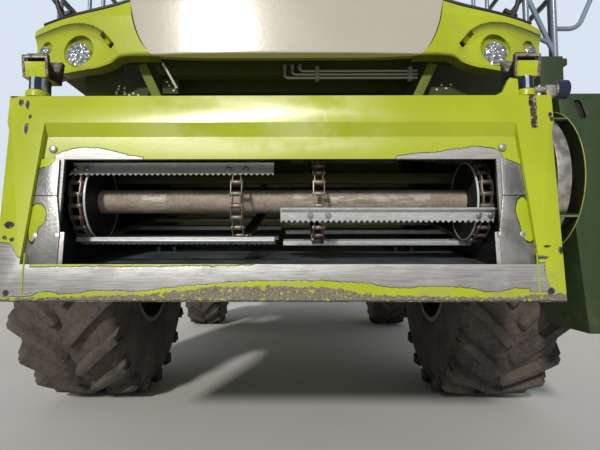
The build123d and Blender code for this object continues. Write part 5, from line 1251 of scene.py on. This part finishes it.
PHASE = {"front": math.radians(170.69), "rear": math.radians(170.3)}
for wheel, (radius, width, rim, bar, count, centre) in TYRES.items():
    rows = [casing(radius, width, rim, bar)]
    for side in (1, -1):
        phase = PHASE[wheel] + (0 if side > 0 else math.pi / count)
        rows.append(ring_of(tread_bar(radius, width, bar, side), tyre, count, phase))
    for name, meshes in both_sides(centre, rows):
        node = f"{wheel}_tyre_{name}"
        place(joined(node + "_piece", meshes, smooth=32), body_of(node), "rubber_tyre", node)

# %% [markdown]
# A rim keeps its CAD mesh and gets its ring of wheel nuts.

# %% Rims
NUTS = {"front": (10, 0.0225, 0.070), "rear": (8, 0.018, 0.050)}  # count, size, how far out the disc lies
for wheel, (count, size, disc) in NUTS.items():
    rim, centre = TYRES[wheel][2], TYRES[wheel][5]
    stud = hex_bolt(size * 1.4, size, bolt_steel)
    lie = Matrix.Translation((disc + 0.022, 0, (rim - 0.060) * 0.585)) @ Matrix.Rotation(math.pi / 2, 4, "Y")
    ring = ring_of(moved(stud, lie), bolt_steel, count, math.pi / count)
    for name, meshes in both_sides(centre, [ring]):
        node = f"{wheel}_rim_{name}"
        place(joined(node + "_nuts", meshes), body_of(node), "rim_paint")
print("wheels done")

# %% [markdown]
# ## The moulded front under the cab
# Each lobe is one surface over its outline. A patch between four edge lines gives a grid of (x, z) points,
# and the depth of every point is a formula: the sweep of the lobe, a recess whose floor leans from the lower
# edge back to the brow, a round hood over each lamp and a slot at the inner end.

# %% Edge lines and patches
def on_line(points, t):
    """Point at a share of a polyline's points, eased through its corners."""
    place_at = t * (len(points) - 1)
    i = min(int(place_at), len(points) - 2)
    part = place_at - i
    before, a, b, after = points[max(i - 1, 0)], points[i], points[i + 1], points[min(i + 2, len(points) - 1)]
    result = []
    for p, q, r, s in zip(before, a, b, after):
        bend = 2 * p - 5 * q + 4 * r - s + part * (3 * (q - r) + s - p)
        result.append(q + 0.5 * part * (r - p + part * bend))
    return Vector(result)


def patch(top, bottom, inner, outer, columns, rows):
    """Grid of points between four edge lines, row by row from the top."""
    grid = []
    for j in range(rows + 1):
        v = j / rows
        row = []
        for i in range(columns + 1):
            u = i / columns
            upright = on_line(top, u) * (1 - v) + on_line(bottom, u) * v
            level = on_line(inner, v) * (1 - u) + on_line(outer, v) * u
            corners = (Vector(top[0]) * (1 - u) + Vector(top[-1]) * u) * (1 - v)
            corners += (Vector(bottom[0]) * (1 - u) + Vector(bottom[-1]) * u) * v
            row.append(upright + level - corners)
        grid.append(row)
    return grid


def panel_solid(grid, front, back):
    """A solid panel: front and back stations over the same grid, stitched round the rim."""
    bm = bmesh.new()
    sheets = []
    for depth in (front, back):
        sheets.append([[bm.verts.new((p.x, row_y(depth(p.x, p.y)), p.y)) for p in row] for row in grid])
    rows, columns = len(grid) - 1, len(grid[0]) - 1
    for sheet in sheets:
        for j in range(rows):
            for i in range(columns):
                bm.faces.new((sheet[j][i], sheet[j][i + 1], sheet[j + 1][i + 1], sheet[j + 1][i]))
    rim = [(0, i) for i in range(columns)] + [(j, columns) for j in range(rows)]
    rim += [(rows, i) for i in range(columns, 0, -1)] + [(j, 0) for j in range(rows, 0, -1)]
    for (j, i), (k, l) in zip(rim, rim[1:] + rim[:1]):
        bm.faces.new((sheets[0][j][i], sheets[0][k][l], sheets[1][k][l], sheets[1][j][i]))
    return bm


def step(value, low, high):
    """Smooth step from 0 to 1."""
    t = min(max((value - low) / (high - low), 0.0), 1.0)
    return t * t * (3 - 2 * t)


# %% Lobes
SEAM = [(0.915, 2.620), (0.892, 2.500), (0.866, 2.370), (0.825, 2.265), (0.770, 2.185), (0.716, 2.170)]
LOBE_UPPER = [(0.897, 2.505), (1.012, 2.466), (1.158, 2.432), (1.305, 2.412), (1.440, 2.405), (1.518, 2.398)]
LOBE_LOWER = [(0.721, 2.168), (0.850, 2.174), (0.940, 2.168), (1.000, 2.136), (1.077, 2.112), (1.198, 2.099),
              (1.290, 2.095), (1.385, 2.100), (1.500, 2.200)]
LOBE_INNER = [(0.897, 2.505), (0.871, 2.370), (0.830, 2.265), (0.775, 2.190), (0.721, 2.168)]
LOBE_END = [(1.518, 2.398), (1.528, 2.360), (1.524, 2.280), (1.500, 2.200)]
BROW = [(0.90, 2.05), (0.942, 2.172), (0.975, 2.226), (1.018, 2.284), (1.055, 2.326), (1.103, 2.355),
        (1.160, 2.372), (1.240, 2.378), (1.340, 2.372), (1.440, 2.366), (1.55, 2.366)]
HEADLAMP = (1.190, 2.194)
SIDE_LAMPS = ((1.449, 2.264), (1.430, 2.128))
SLOT = (1.022, 2.272)


def height_on(line, x):
    """Height of a line at an x."""
    for (x0, z0), (x1, z1) in zip(line, line[1:]):
        if x <= x1:
            return z0 + (z1 - z0) * (x - x0) / (x1 - x0)
    return line[-1][1]


def slot_axes(x, z):
    """Along and across the slot at the lobe's inner end."""
    across, up = x - SLOT[0], z - SLOT[1]
    return across * 0.65 + up * 0.76, up * 0.65 - across * 0.76


def hood(x, z, centre, radius, depth):
    """Round hollow over a lamp."""
    away = math.hypot(x - centre[0], z - centre[1]) / radius
    return depth * math.sqrt(max(0.0, 1 - away * away)) if away < 1 else 0.0


def lobe_front(x, z):
    x = abs(x)
    station = -1.231 + 0.030 * (x - 0.7) / 0.48 + 0.105 * max(0.0, (x - 1.10) / 0.38) ** 2.0
    station += 0.30 * max(0.0, z - 2.41)
    brow, lower = height_on(BROW, x), height_on(LOBE_LOWER, x)
    share = min(max((z - lower) / max(brow - lower, 0.02), 0.0), 1.0)
    inside = max(0.0, min((brow - z) / 0.075, 1.0))
    deep = (0.004 + 0.036 * inside * (2 - inside)) * share ** 0.6 * step(x, 0.94, 1.06) if z < brow else 0.0
    inner = hood(x, z, (HEADLAMP[0] + 0.012, HEADLAMP[1] + 0.032), 0.092, 0.050)
    for lamp_x, lamp_z in SIDE_LAMPS:
        inner = max(inner, hood(x, z, (lamp_x - 0.010, lamp_z + 0.014), 0.044, 0.026))
    u, v = slot_axes(x, z)
    slot = step(0.056 - abs(u), 0.0, 0.010) * step(0.017 - abs(v), 0.0, 0.010)
    roll = max(0.0, 1 - (z - lower) / 0.022) ** 2 * 0.012
    return station + deep + inner + slot * 0.030 + roll


def lobe_back(x, z):
    return max(lobe_front(x, z) + 0.012, min(lobe_front(x, z) + 0.085, -1.014))


def lobe_paint():
    """Lime enamel with dust, and painted shade in the slot and on the faces turned down."""
    f = Finish("lobe_enamel", roughness=0.24, Coat_Weight=0.35, Coat_Roughness=0.08)
    side = f.x.op("ABSOLUTE")
    tone = f.cloudy(2.0, 4, 0.35, 0.68, times(LIME, 0.84), LIME)
    u, v = slot_axes(side, f.z)
    # painted shade: the slot's hollow and the faces turned down are darkened
    slot = between(u, -0.054, -0.004).least(between(v, -0.016, 0.016)).rise(-0.001, 0.002)
    under = f.nz.rise(-0.35, -0.75) * 0.75
    dirt = f.noise(11, 6).rise(0.52, 0.74) * 0.22 + f.noise(210, 2).rise(0.64, 0.74) * 0.10
    f.colour(f.mix(slot, f.mix(under, f.mix(dirt, tone, DUST), (0.055, 0.065, 0.010)), (0.012, 0.014, 0.006)))
    f.roughness(dirt * 0.4 + 0.24)
    f.bump(f.noise(50, 2), 0.0004)
    return f.material


PIPE_BEND = [(1.265, 2.415), (1.300, 2.425), (1.345, 2.475), (1.372, 2.560), (1.385, 2.700), (1.400, 2.900)]
lobes, rods = [], []
lobe_enamel = lobe_paint()
grid = patch(LOBE_UPPER, LOBE_LOWER, LOBE_INNER, LOBE_END, 120, 110)
for side in (1, -1):
    bm = panel_solid([[Vector((side * p.x, p.y)) for p in row] for row in grid], lobe_front, lobe_back)
    round_edges(bm, 0.003, 50)
    bmesh.ops.recalc_face_normals(bm, faces=bm.faces)
    lobes.append(meshed("lobe", bm, lobe_enamel))
    edge = [Vector((side * x, row_y(lobe_front(x, z) + 0.010), z + 0.012)) for x, z in LOBE_UPPER[:-1]]
    rods.append(rod(edge, 0.012, black_plastic))
    rods.append(rod([Vector((side * x, row_y(-1.105), z)) for x, z in PIPE_BEND], 0.0135, black_plastic))
place(joined("lobes_piece", lobes + rods, smooth=38), "root", "green_paint", "fascia_lobes")


# %% Centre panel
PANEL_LIP = 2.180


def panel_front(x, z):
    curve = 0.030 * (abs(x) / 0.9) ** 2.5
    over = 0.14 * max(0.0, z - 2.50)
    tuck = 0.8 * max(0.0, PANEL_LIP - z)
    return -1.236 + curve + over + tuck


def panel_back(x, z):
    return panel_front(x, z) + 0.034


def panel_paint():
    """Pale enamel whose turned-in lower lip has a painted reflection of the green machine below."""
    f = Finish("centre_panel", roughness=0.20, Coat_Weight=0.35, Coat_Roughness=0.06)
    tone = f.cloudy(1.6, 3, 0.35, 0.70, (0.475, 0.450, 0.385), (0.525, 0.500, 0.430))
    lip_reflection = f.z.rise(PANEL_LIP + 0.004, PANEL_LIP - 0.003)
    f.colour(f.mix(lip_reflection, tone, (0.20, 0.215, 0.055)))
    f.bump(f.noise(40, 2), 0.0002)
    return f.material


PANEL_UPPER = [(-0.915, 2.620), (0.915, 2.620)]
PANEL_LOWER = [(-0.716, 2.166), (-0.4, 2.154), (0.4, 2.154), (0.716, 2.166)]
grid = patch(PANEL_UPPER, PANEL_LOWER, [(-x, z) for x, z in SEAM], SEAM, 80, 46)
centre = shaped("centre_piece", panel_solid(grid, panel_front, panel_back), panel_paint(), smooth=50)
place(centre, "root", "pale_panel", "fascia_centre")


# %% Lamps
LENS_R = 0.066  # of the drawn lens; every lamp is scaled from it
LENS = [(-0.012, 0.0), (-0.0105, 0.030), (-0.005, 0.056), (0.0, LENS_R), (0.003, LENS_R), (-0.001, 0.055),
        (-0.0065, 0.029), (-0.008, 0.0)]
BOWL = [(0.004, 0.0645), (0.020, 0.056), (0.034, 0.036), (0.041, 0.0), (0.045, 0.0), (0.038, 0.038),
        (0.023, 0.060), (0.006, 0.0662)]
BULB = [(0.008, 0.0), (0.009, 0.009), (0.020, 0.010), (0.042, 0.008)]
RING_ROUND_LENS = [(0.001, LENS_R), (-0.002, 0.0695), (0.004, 0.071), (0.014, 0.070), (0.014, LENS_R)]


def lamp_meshes(x, z, station, radius):
    """Clear lens over a faceted reflector, facing the front."""
    scale = radius / LENS_R
    at_lamp = (x, row_y(station), z)

    def turned_part(profile, material, closed=False):
        return lathe([(a * scale, r * scale) for a, r in profile], material, 48, at_lamp, "Y", closed)

    return [turned_part(LENS, lens_glass), turned_part(BOWL, reflector), turned_part(BULB, chrome),
            turned_part(RING_ROUND_LENS, lime, True)]


lamps = []
for side in (1, -1):
    lamps += lamp_meshes(side * HEADLAMP[0], HEADLAMP[1], -1.188, 0.068)
    for (x, z), station in zip(SIDE_LAMPS, (-1.070, -1.088)):
        lamps += lamp_meshes(side * x, z, station, 0.031)
    for material, z in ((red_lens, 1.922), (amber_lens, 1.968)):
        at_rear = facing_front(side * 0.972, 5.560, z)
        lamps.append(plate(rectangle(-0.055, -0.021, 0.055, 0.021), 0.045, material, at_rear, 0.004))
for x in (-0.710, -0.480, -0.250, 0.250, 0.480, 0.710):
    lamps += lamp_meshes(x, 3.782, -1.396, 0.047)
place(joined("lamps_piece", lamps), "root", "lamp_lens", "lamps")
print("front mouldings and lamps done")


# %% Struts and the holed board under the cab
HOLES = [(-1.026, 2.076), (-1.029, 2.058), (-0.991, 2.065), (-1.040, 2.040), (-1.040, 2.030), (-0.991, 2.040),
         (-0.989, 2.030), (-0.961, 2.021), (-0.937, 2.032), (-0.907, 2.021), (-0.734, 2.103), (-0.697, 2.096),
         (-0.720, 2.080), (-0.680, 2.066), (-0.692, 2.050), (0.935, 2.080), (0.962, 2.060), (0.905, 2.052),
         (0.990, 2.082)]
BOARD = -1.005  # station of the holed boards


def strip(x0, z0, x1, z1, width, thickness, material, station):
    """Upright bar between two (x, z) points."""
    along = Vector((x1 - x0, z1 - z0)).normalized()
    across = Vector((-along.y, along.x)) * width / 2
    outline = [(x0 + across.x, z0 + across.y), (x1 + across.x, z1 + across.y), (x1 - across.x, z1 - across.y),
               (x0 - across.x, z0 - across.y)]
    return plate(outline, thickness, material, facing_front(0, station), 0.002)


# painted shade under the cab: lime darkened near black for the boards and platforms, and to olive for the
# struts, with some dust
under_cab_shade = enamel("lime_enamel_in_painted_shade", (0.040, 0.050, 0.005), dust=0.12, gloss=0.75, low=0.2, coat=0.0)
shaded_olive = enamel("strut_enamel_shaded", (0.150, 0.185, 0.012), dust=0.10, gloss=0.7, low=0.2, coat=0.0)
daylight = moulded_plastic("hole_in_the_light", (0.60, 0.62, 0.45), 0.8)
struts = []
for side in (1, -1):
    struts.append(strip(side * 0.862, 2.180, side * 0.700, 1.840, 0.052, 0.012, shaded_olive, -1.085))
    struts.append(strip(side * 0.845, 1.975, side * 1.090, 1.975, 0.190, 0.004, under_cab_shade, BOARD))
struts.append(strip(-0.760, 2.075, -0.660, 2.075, 0.090, 0.004, under_cab_shade, BOARD))
struts.append(strip(1.500, 1.710, 1.500, 1.860, 0.110, 0.003, iron_black, -1.408))
hole = lathe([(-0.001, 0.0), (-0.001, 0.0065), (0.001, 0.0065), (0.001, 0.0)], daylight, 16, axis="Y")
hole_spots = [(Vector((x, row_y(BOARD - 0.0005), z)), (0, 0, 0)) for x, z in HOLES]
struts.append(on_spots(hole, daylight, hole_spots))
pale_rod = [Vector((-0.722, row_y(-1.13), 2.165)), Vector((-0.640, row_y(-1.12), 2.020))]
struts.append(rod(pale_rod, 0.007, pale))
place(joined("under_cab_struts", struts), "root", "green_paint")

# %% [markdown]
# ## Hooks, pulley and small fittings
# Where one node has several materials, the material itself decides by place: a hook is enamel in the middle
# and bare steel along the rim that lifts the front attachment. Its polished stem is a piece of its own.

# %% Finishes that change over one piece
HOOK_X = 1.027
STEM = (1.023, -1.842)
PULLEY = (-1.425, 1.413)


def hook_metal():
    f = Finish("hook_metal", roughness=0.30)
    across = (f.x.op("ABSOLUTE") - HOOK_X).op("ABSOLUTE")
    rod_part = f.z.rise(1.7902, 1.7895) * across.rise(0.0345, 0.0335)
    ragged = (f.noise(90, 5) - 0.5) * 0.012
    block = across.rise(0.0425, 0.0415) * f.z.rise(1.858, 1.850)
    worn = (f.nz * 0.5 + f.noise(45, 5)).rise(0.86, 0.92)
    stain = f.noise(40, 6).rise(0.40, 0.65)
    steel = f.mix(stain, (0.42, 0.37, 0.32), (0.16, 0.12, 0.09))
    painted = f.mix(worn, f.mix(f.noise(30, 4).rise(0.5, 0.7) * 0.3, LIME, DUST), (0.10, 0.08, 0.06))
    body = f.mix(block, steel, painted)
    # painted shade: near-black green on the hook's inner side; the part under the stem is darkened as well
    inner = f.x.op("ABSOLUTE").rise(0.978, 0.972) * 0.88
    f.colour(f.mix(rod_part.most(inner), body, (0.012, 0.014, 0.008)))
    f.metallic((block * -1.0 + 1.0) * 0.7)
    f.bump(f.noise(120, 4) + ragged, 0.0004)
    return f.material


def from_pulley(f):
    """Distance from the belt pulley's axis."""
    along, up = f.y - row_y(PULLEY[0]), f.z - PULLEY[1]
    return (along * along + up * up).op("SQRT")


def pulley_metal():
    """Dark web inside a belt rim that the belt keeps bright."""
    f = Finish("pulley_metal", roughness=0.34)
    rim = from_pulley(f).rise(0.294, 0.300)
    streak = f.noise(24, 5)
    bright = f.mix(streak.rise(0.4, 0.65), (0.30, 0.28, 0.25), (0.55, 0.53, 0.50))
    web = f.cloudy(9, 5, 0.4, 0.7, (0.060, 0.052, 0.040), (0.15, 0.13, 0.10))
    f.colour(f.mix(rim, web, bright))
    f.metallic(rim * 0.8)
    f.bump(f.noise(90, 3), 0.0005)
    return f.material


def coupler_finish():
    """Zinc block and stem with a blue-black hand wheel."""
    f = Finish("coupler_finish", roughness=0.34)
    knob = f.x.rise(1.1215, 1.1225)
    zinc = f.cloudy(60, 5, 0.4, 0.7, (0.52, 0.50, 0.44), (0.30, 0.27, 0.20))
    f.colour(f.mix(knob, zinc, (0.010, 0.018, 0.050)))
    f.metallic(knob * -0.7 + 0.7)
    f.bump(f.noise(120, 3), 0.0005)
    return f.material


def stem_chrome():
    """Polished stem with a painted reflection: sky and dark yard as upright bands."""
    f = Finish("stem_chrome", roughness=0.14, metallic=0.7)
    turn = f.nx + (f.noise(30, 4, (1, 1, 0.1)) - 0.5) * 0.2
    reflection_bands = between(turn, -0.32, 0.10).rise(-0.05, 0.08).most(turn.rise(0.72, 0.86) * 0.6)
    f.colour(f.mix(reflection_bands, (0.035, 0.065, 0.13), (0.93, 0.94, 0.95)))
    return f.material


hook_finish = hook_metal()
stem_finish = stem_chrome()
STEM_PROFILE = [(1.733, 0.033), (1.735, 0.034), (1.785, 0.034)]
COLLAR_PROFILE = [(1.700, 0.020), (1.700, 0.046), (1.722, 0.046), (1.728, 0.042), (1.728, 0.020)]
for side, name in SIDES:
    hook = f"hook_{name}"
    axis = (side * STEM[0], row_y(STEM[1]), 0)
    softened(hook, 0.0025, "bare_steel", hook_finish)
    stem = lathe(STEM_PROFILE, stem_finish, 48, axis, "Z")
    place(joined(hook + "_stem", [stem]), body_of(hook), "chrome_rod")
    # a black plate behind each hook: painted shade in the hook's gaps
    outline = rectangle(side * HOOK_X - 0.042, 1.800, side * HOOK_X + 0.042, 1.894)
    shade_backing = plate(outline, 0.004, iron_black, facing_front(0, -1.850))
    place(joined(hook + "_back", [shade_backing]), body_of(hook), "dark_steel")
    collar = lathe(COLLAR_PROFILE, lime, 48, axis, "Z", closed=True)
    place(joined(f"collar_{name}", [collar]), "feeder", "green_paint")
softened("feed_pulley", 0.003, "dark_steel", pulley_metal())
softened("coupler", 0.004, "black_plastic", coupler_finish())

# %% [markdown]
# ## Everything else that is painted, cast or moulded
# A short table gives each remaining CAD node its edge rounding and its finish. Nodes with no rounding keep
# their own mesh and only take a material.

# %% Finishes of the other nodes
def screen_mesh():
    """Dark sheet full of small round holes painted near black as shade, with dust in the lower half."""
    f = Finish("screen_mesh", roughness=0.5, metallic=0.3)
    grid = (f.y * 260.0).op("SINE") * (f.z * 260.0).op("SINE")
    dusty = f.noise(7, 5).rise(0.4, 0.7) * f.z.rise(3.3, 2.7)
    sheet = f.mix(dusty, (0.055, 0.055, 0.055), (0.16, 0.14, 0.11))
    # painted shade: the holes are near black
    holes = grid.op("ABSOLUTE").rise(0.25, 0.5) * f.nx.op("ABSOLUTE").rise(0.7, 0.9)
    f.colour(f.mix(holes, sheet, (0.004, 0.004, 0.004)))
    f.bump(holes * -1.0, 0.002)
    return f.material


def guard_shade_and_highlight():
    """Sheet painted dark as shade, with a painted highlight as a pale line along its rolled rim."""
    f = Finish("guard_painted_shade_and_highlight", roughness=0.42)
    rim = from_pulley(f).rise(0.341, 0.344) * f.noise(20, 4).rise(0.30, 0.45)
    sheet = f.cloudy(9, 5, 0.4, 0.7, (0.016, 0.022, 0.008), (0.036, 0.040, 0.018))
    f.colour(f.mix(rim, sheet, (0.36, 0.40, 0.10)))
    f.bump(f.noise(90, 3), 0.0005)
    return f.material


hood_black = oily_iron("sooty_iron", (0.030, 0.029, 0.028), 0.6)
DRESS = {  # node: rounding in metres, slot, finish
    "platforms": (0.003, "green_paint", under_cab_shade),
    "ladder": (0.002, "dark_green_paint", dark_green),
    "pulley_guard": (0.0, "dark_steel", guard_shade_and_highlight()),
    "threshing_body": (0.004, "green_paint", lime_dull),
    "grain_tank": (0.006, "green_paint", lime),
    "engine_hood": (0.012, "green_paint", lime),
    "rear_hood": (0.012, "green_paint", lime),
    "chopper": (0.004, "green_paint", lime_dull),
    "auger_turret": (0.006, "green_paint", lime),
    "unloading_tube": (0.0, "green_paint", lime),
    "chassis_frame": (0.005, "green_paint", lime_dull),
    "front_axle": (0.008, "green_paint", lime_dull),
    "rear_axle": (0.008, "green_paint", lime_dull),
    "cab_body": (0.010, "pale_panel", pale),
    "cab_roof": (0.014, "pale_panel", pale),
    "cab_door": (0.004, "pale_panel", pale),
    "cab_glass": (0.0, "window_glass", glass),
    "door_glass": (0.0, "window_glass", glass),
    "engine_block": (0.0, "dark_steel", iron),
    "dust_screen": (0.003, "dark_steel", screen_mesh()),
    "exhaust": (0.0, "dark_steel", hood_black),
    "seat_frame": (0.006, "black_plastic", black_plastic),
    "steering_column": (0.0, "black_plastic", black_plastic),
    "railings": (0.0, "grey_paint", rail_sky_tinted),
    "rear_ladder": (0.0, "grey_paint", rail_sky_tinted),
    "hydraulic_pipes": (0.0, "bare_steel", pipe_zinc),
    "mirrors": (0.012, "mirror_shell", black_plastic),
    "tie_rod": (0.002, "dark_steel", iron),
}
for _, name in SIDES:
    DRESS[f"knuckle_{name}"] = (0.004, "green_paint", lime_dull)
    DRESS[f"lift_barrel_{name}"] = (0.002, "green_paint", lime_dull)
    DRESS[f"lift_rod_{name}"] = (0.0, "chrome_rod", chrome)
    DRESS[f"tank_lid_{name}"] = (0.006, "green_paint", lime)
    DRESS[f"side_panel_{name}"] = (0.005, "green_paint", lime)
    DRESS[f"front_rim_{name}"] = (0.0, "rim_paint", rim_cream)
    DRESS[f"rear_rim_{name}"] = (0.0, "rim_paint", rim_cream)


def dress(node, material):
    """A CAD node keeps its mesh and takes a finish."""
    for slot in nodes[node].material_slots:
        slot.link = "OBJECT"
        slot.material = material


for node, (width, slot, material) in DRESS.items():
    if width:
        softened(node, width, slot, material)
    else:
        dress(node, material)
print("dressed:", len(DRESS), "nodes")

# %% [markdown]
# ## The padded seat
# Foam under cloth swells most in the middle of a field and least along its edges. The cushion's solid is made
# a little smaller, Cloth under pressure shows where it wants to swell, and a share of that move, capped at
# what was taken off, keeps the pad inside the room of its solid.

# %% Seat
PAD_VOXEL = 0.006
PAD_INWARD = 0.010
PAD_SHARE = 0.2
PAD_FRAMES = 20
PAD_KEPT = 0.25  # share of the faces that are kept before the last subdivision


def swollen(node, material):
    """A CAD node's solid blown up by Cloth under pressure."""
    pad = bpy.data.objects.new("pad", nodes[node].data.copy())
    scene.collection.objects.link(pad)
    voxels = pad.modifiers.new("voxels", "REMESH")
    voxels.mode = "VOXEL"
    voxels.voxel_size = PAD_VOXEL
    even = evaluated_mesh(pad)
    pad.modifiers.clear()
    pad.data = even
    start = [vert.co - vert.normal * PAD_INWARD for vert in even.vertices]
    for vert, point in zip(even.vertices, start):
        vert.co = point
    pressed = pad.modifiers.new("pressed", "CLOTH")
    pressed.settings.use_pressure = True
    pressed.settings.uniform_pressure_force = 4
    pressed.settings.effector_weights.gravity = 0
    for moment in range(1, PAD_FRAMES + 1):
        scene.frame_set(moment)
    full = evaluated_mesh(pad)
    scene.frame_set(1)
    for vert, point in zip(full.vertices, start):
        move = (vert.co - point) * PAD_SHARE
        vert.co = point + move * min(1.0, PAD_INWARD / max(move.length, 1e-9))
    pad.modifiers.clear()
    pad.data = full
    fewer = pad.modifiers.new("fewer", "DECIMATE")
    fewer.ratio = PAD_KEPT
    pad.modifiers.new("finer", "SUBSURF").levels = 1
    result = evaluated_mesh(pad)
    bpy.data.objects.remove(pad)
    result.materials.clear()
    result.materials.append(material)
    return result


seat = as_object("seat_cushion_piece", swollen("seat_cushion", cloth), 60)
place(seat, body_of("seat_cushion"), "seat_cloth", "seat_cushion")
print("seat:", triangles(seat), "triangles")

# %% [markdown]
# ## Panels of the sides and the back
# Thin sheet is stiffened by pressed ribs, opens by latches and breathes through louvres. These sit on the
# panels' own bodies, so that they swing up with them.

# %% Ribs, louvres and latches
PANEL_X = 1.530
TANK_X = 1.214
RAIL = 0.016  # width of a louvre field's frame
RIB = 0.050
SIDE_RIBS = ((1.10, 3.35, 2.190), (1.10, 4.95, 2.320), (1.30, 3.35, 1.900))  # from, to, height


def facing_side(side, x):
    """Plane of a side of the machine: station, up and outward."""
    plane = Matrix(((0, 0, side, side * x), (side, 0, 0, 0), (0, 1, 0, 0), (0, 0, 0, 1)))
    return plane @ Matrix.Translation((side * AXLE_Y, 0, 0)) @ Matrix.Scale(side, 4, (1, 0, 0))


def box_outline(u0, v0, u1, v1, corner=0.012):
    """Rectangle with cut corners."""
    return [(u0 + corner, v0), (u1 - corner, v0), (u1, v0 + corner), (u1, v1 - corner), (u1 - corner, v1),
            (u0 + corner, v1), (u0, v1 - corner), (u0, v0 + corner)]


def raised(plane, u0, v0, u1, v1, height, material, corner=0.012):
    """Rounded field that stands out of a panel."""
    return plate(box_outline(u0, v0, u1, v1, corner), height + 0.004, material,
                 plane @ Matrix.Translation((0, 0, height)), min(height, corner) * 0.7)


def louvres(plane, u0, v0, u1, v1, rows, material):
    """Sloping slats in front of a black field, painted shade for the opening behind, in a frame."""
    meshes = [raised(plane, u0, v0, u1, v1, 0.002, iron_black)]
    pitch = (v1 - v0) / rows
    tilt = Matrix.Rotation(math.radians(-32), 4, "X")
    for i in range(rows):
        at_row = plane @ Matrix.Translation((0, v0 + (i + 0.5) * pitch, 0.012)) @ tilt
        slat = box_outline(u0 + 0.012, -pitch * 0.42, u1 - 0.012, pitch * 0.42, 0.004)
        meshes.append(plate(slat, 0.003, material, at_row, 0.001))
    sides = ((u0, v0, u0 + RAIL, v1), (u1 - RAIL, v0, u1, v1), (u0, v0, u1, v0 + RAIL),
             (u0, v1 - RAIL, u1, v1))
    for corners in sides:
        meshes.append(raised(plane, *corners, 0.014, material, 0.003))
    return meshes


def outward(meshes):
    """The same meshes with their faces turned out again after a mirrored placing."""
    for mesh in meshes:
        bm = bmesh.new()
        bm.from_mesh(mesh)
        bmesh.ops.recalc_face_normals(bm, faces=bm.faces)
        bm.to_mesh(mesh)
        bm.free()
    return meshes


def latch(plane, u, v):
    """Black cup for a recessed latch, made as a thin plate on the panel, with a paddle."""
    cup = raised(plane, u - 0.055, v - 0.035, u + 0.055, v + 0.035, 0.004, black_plastic)
    paddle = raised(plane, u - 0.030, v - 0.016, u + 0.034, v + 0.016, 0.013, bolt_steel, 0.006)
    return [cup, paddle]


for side, name in SIDES:
    plane = facing_side(side, PANEL_X)
    fittings = [raised(plane, u0, v, u1, v + RIB, 0.008, lime) for u0, u1, v in SIDE_RIBS]
    fittings += louvres(plane, 3.560, 1.900, 4.860, 2.240, 9, lime)
    for station in (1.35, 2.75, 4.55):
        fittings += latch(plane, station, 1.700)
    place(joined(f"side_fittings_{name}", outward(fittings)), body_of(f"side_panel_{name}"), "green_paint")
tank_side = facing_side(-1, TANK_X)
ribs = []
for station in (0.85, 1.40, 1.95, 2.50):
    ribs.append(raised(tank_side, station, 2.600, station + 0.060, 3.500, 0.009, lime))
behind = Matrix(((-1, 0, 0, 0), (0, 0, 1, row_y(4.750)), (0, 1, 0, 0), (0, 0, 0, 1)))
ribs += louvres(behind, -0.80, 2.600, 0.60, 2.900, 8, lime)
place(joined("tank_and_hood_fittings", outward(ribs)), "root", "green_paint")
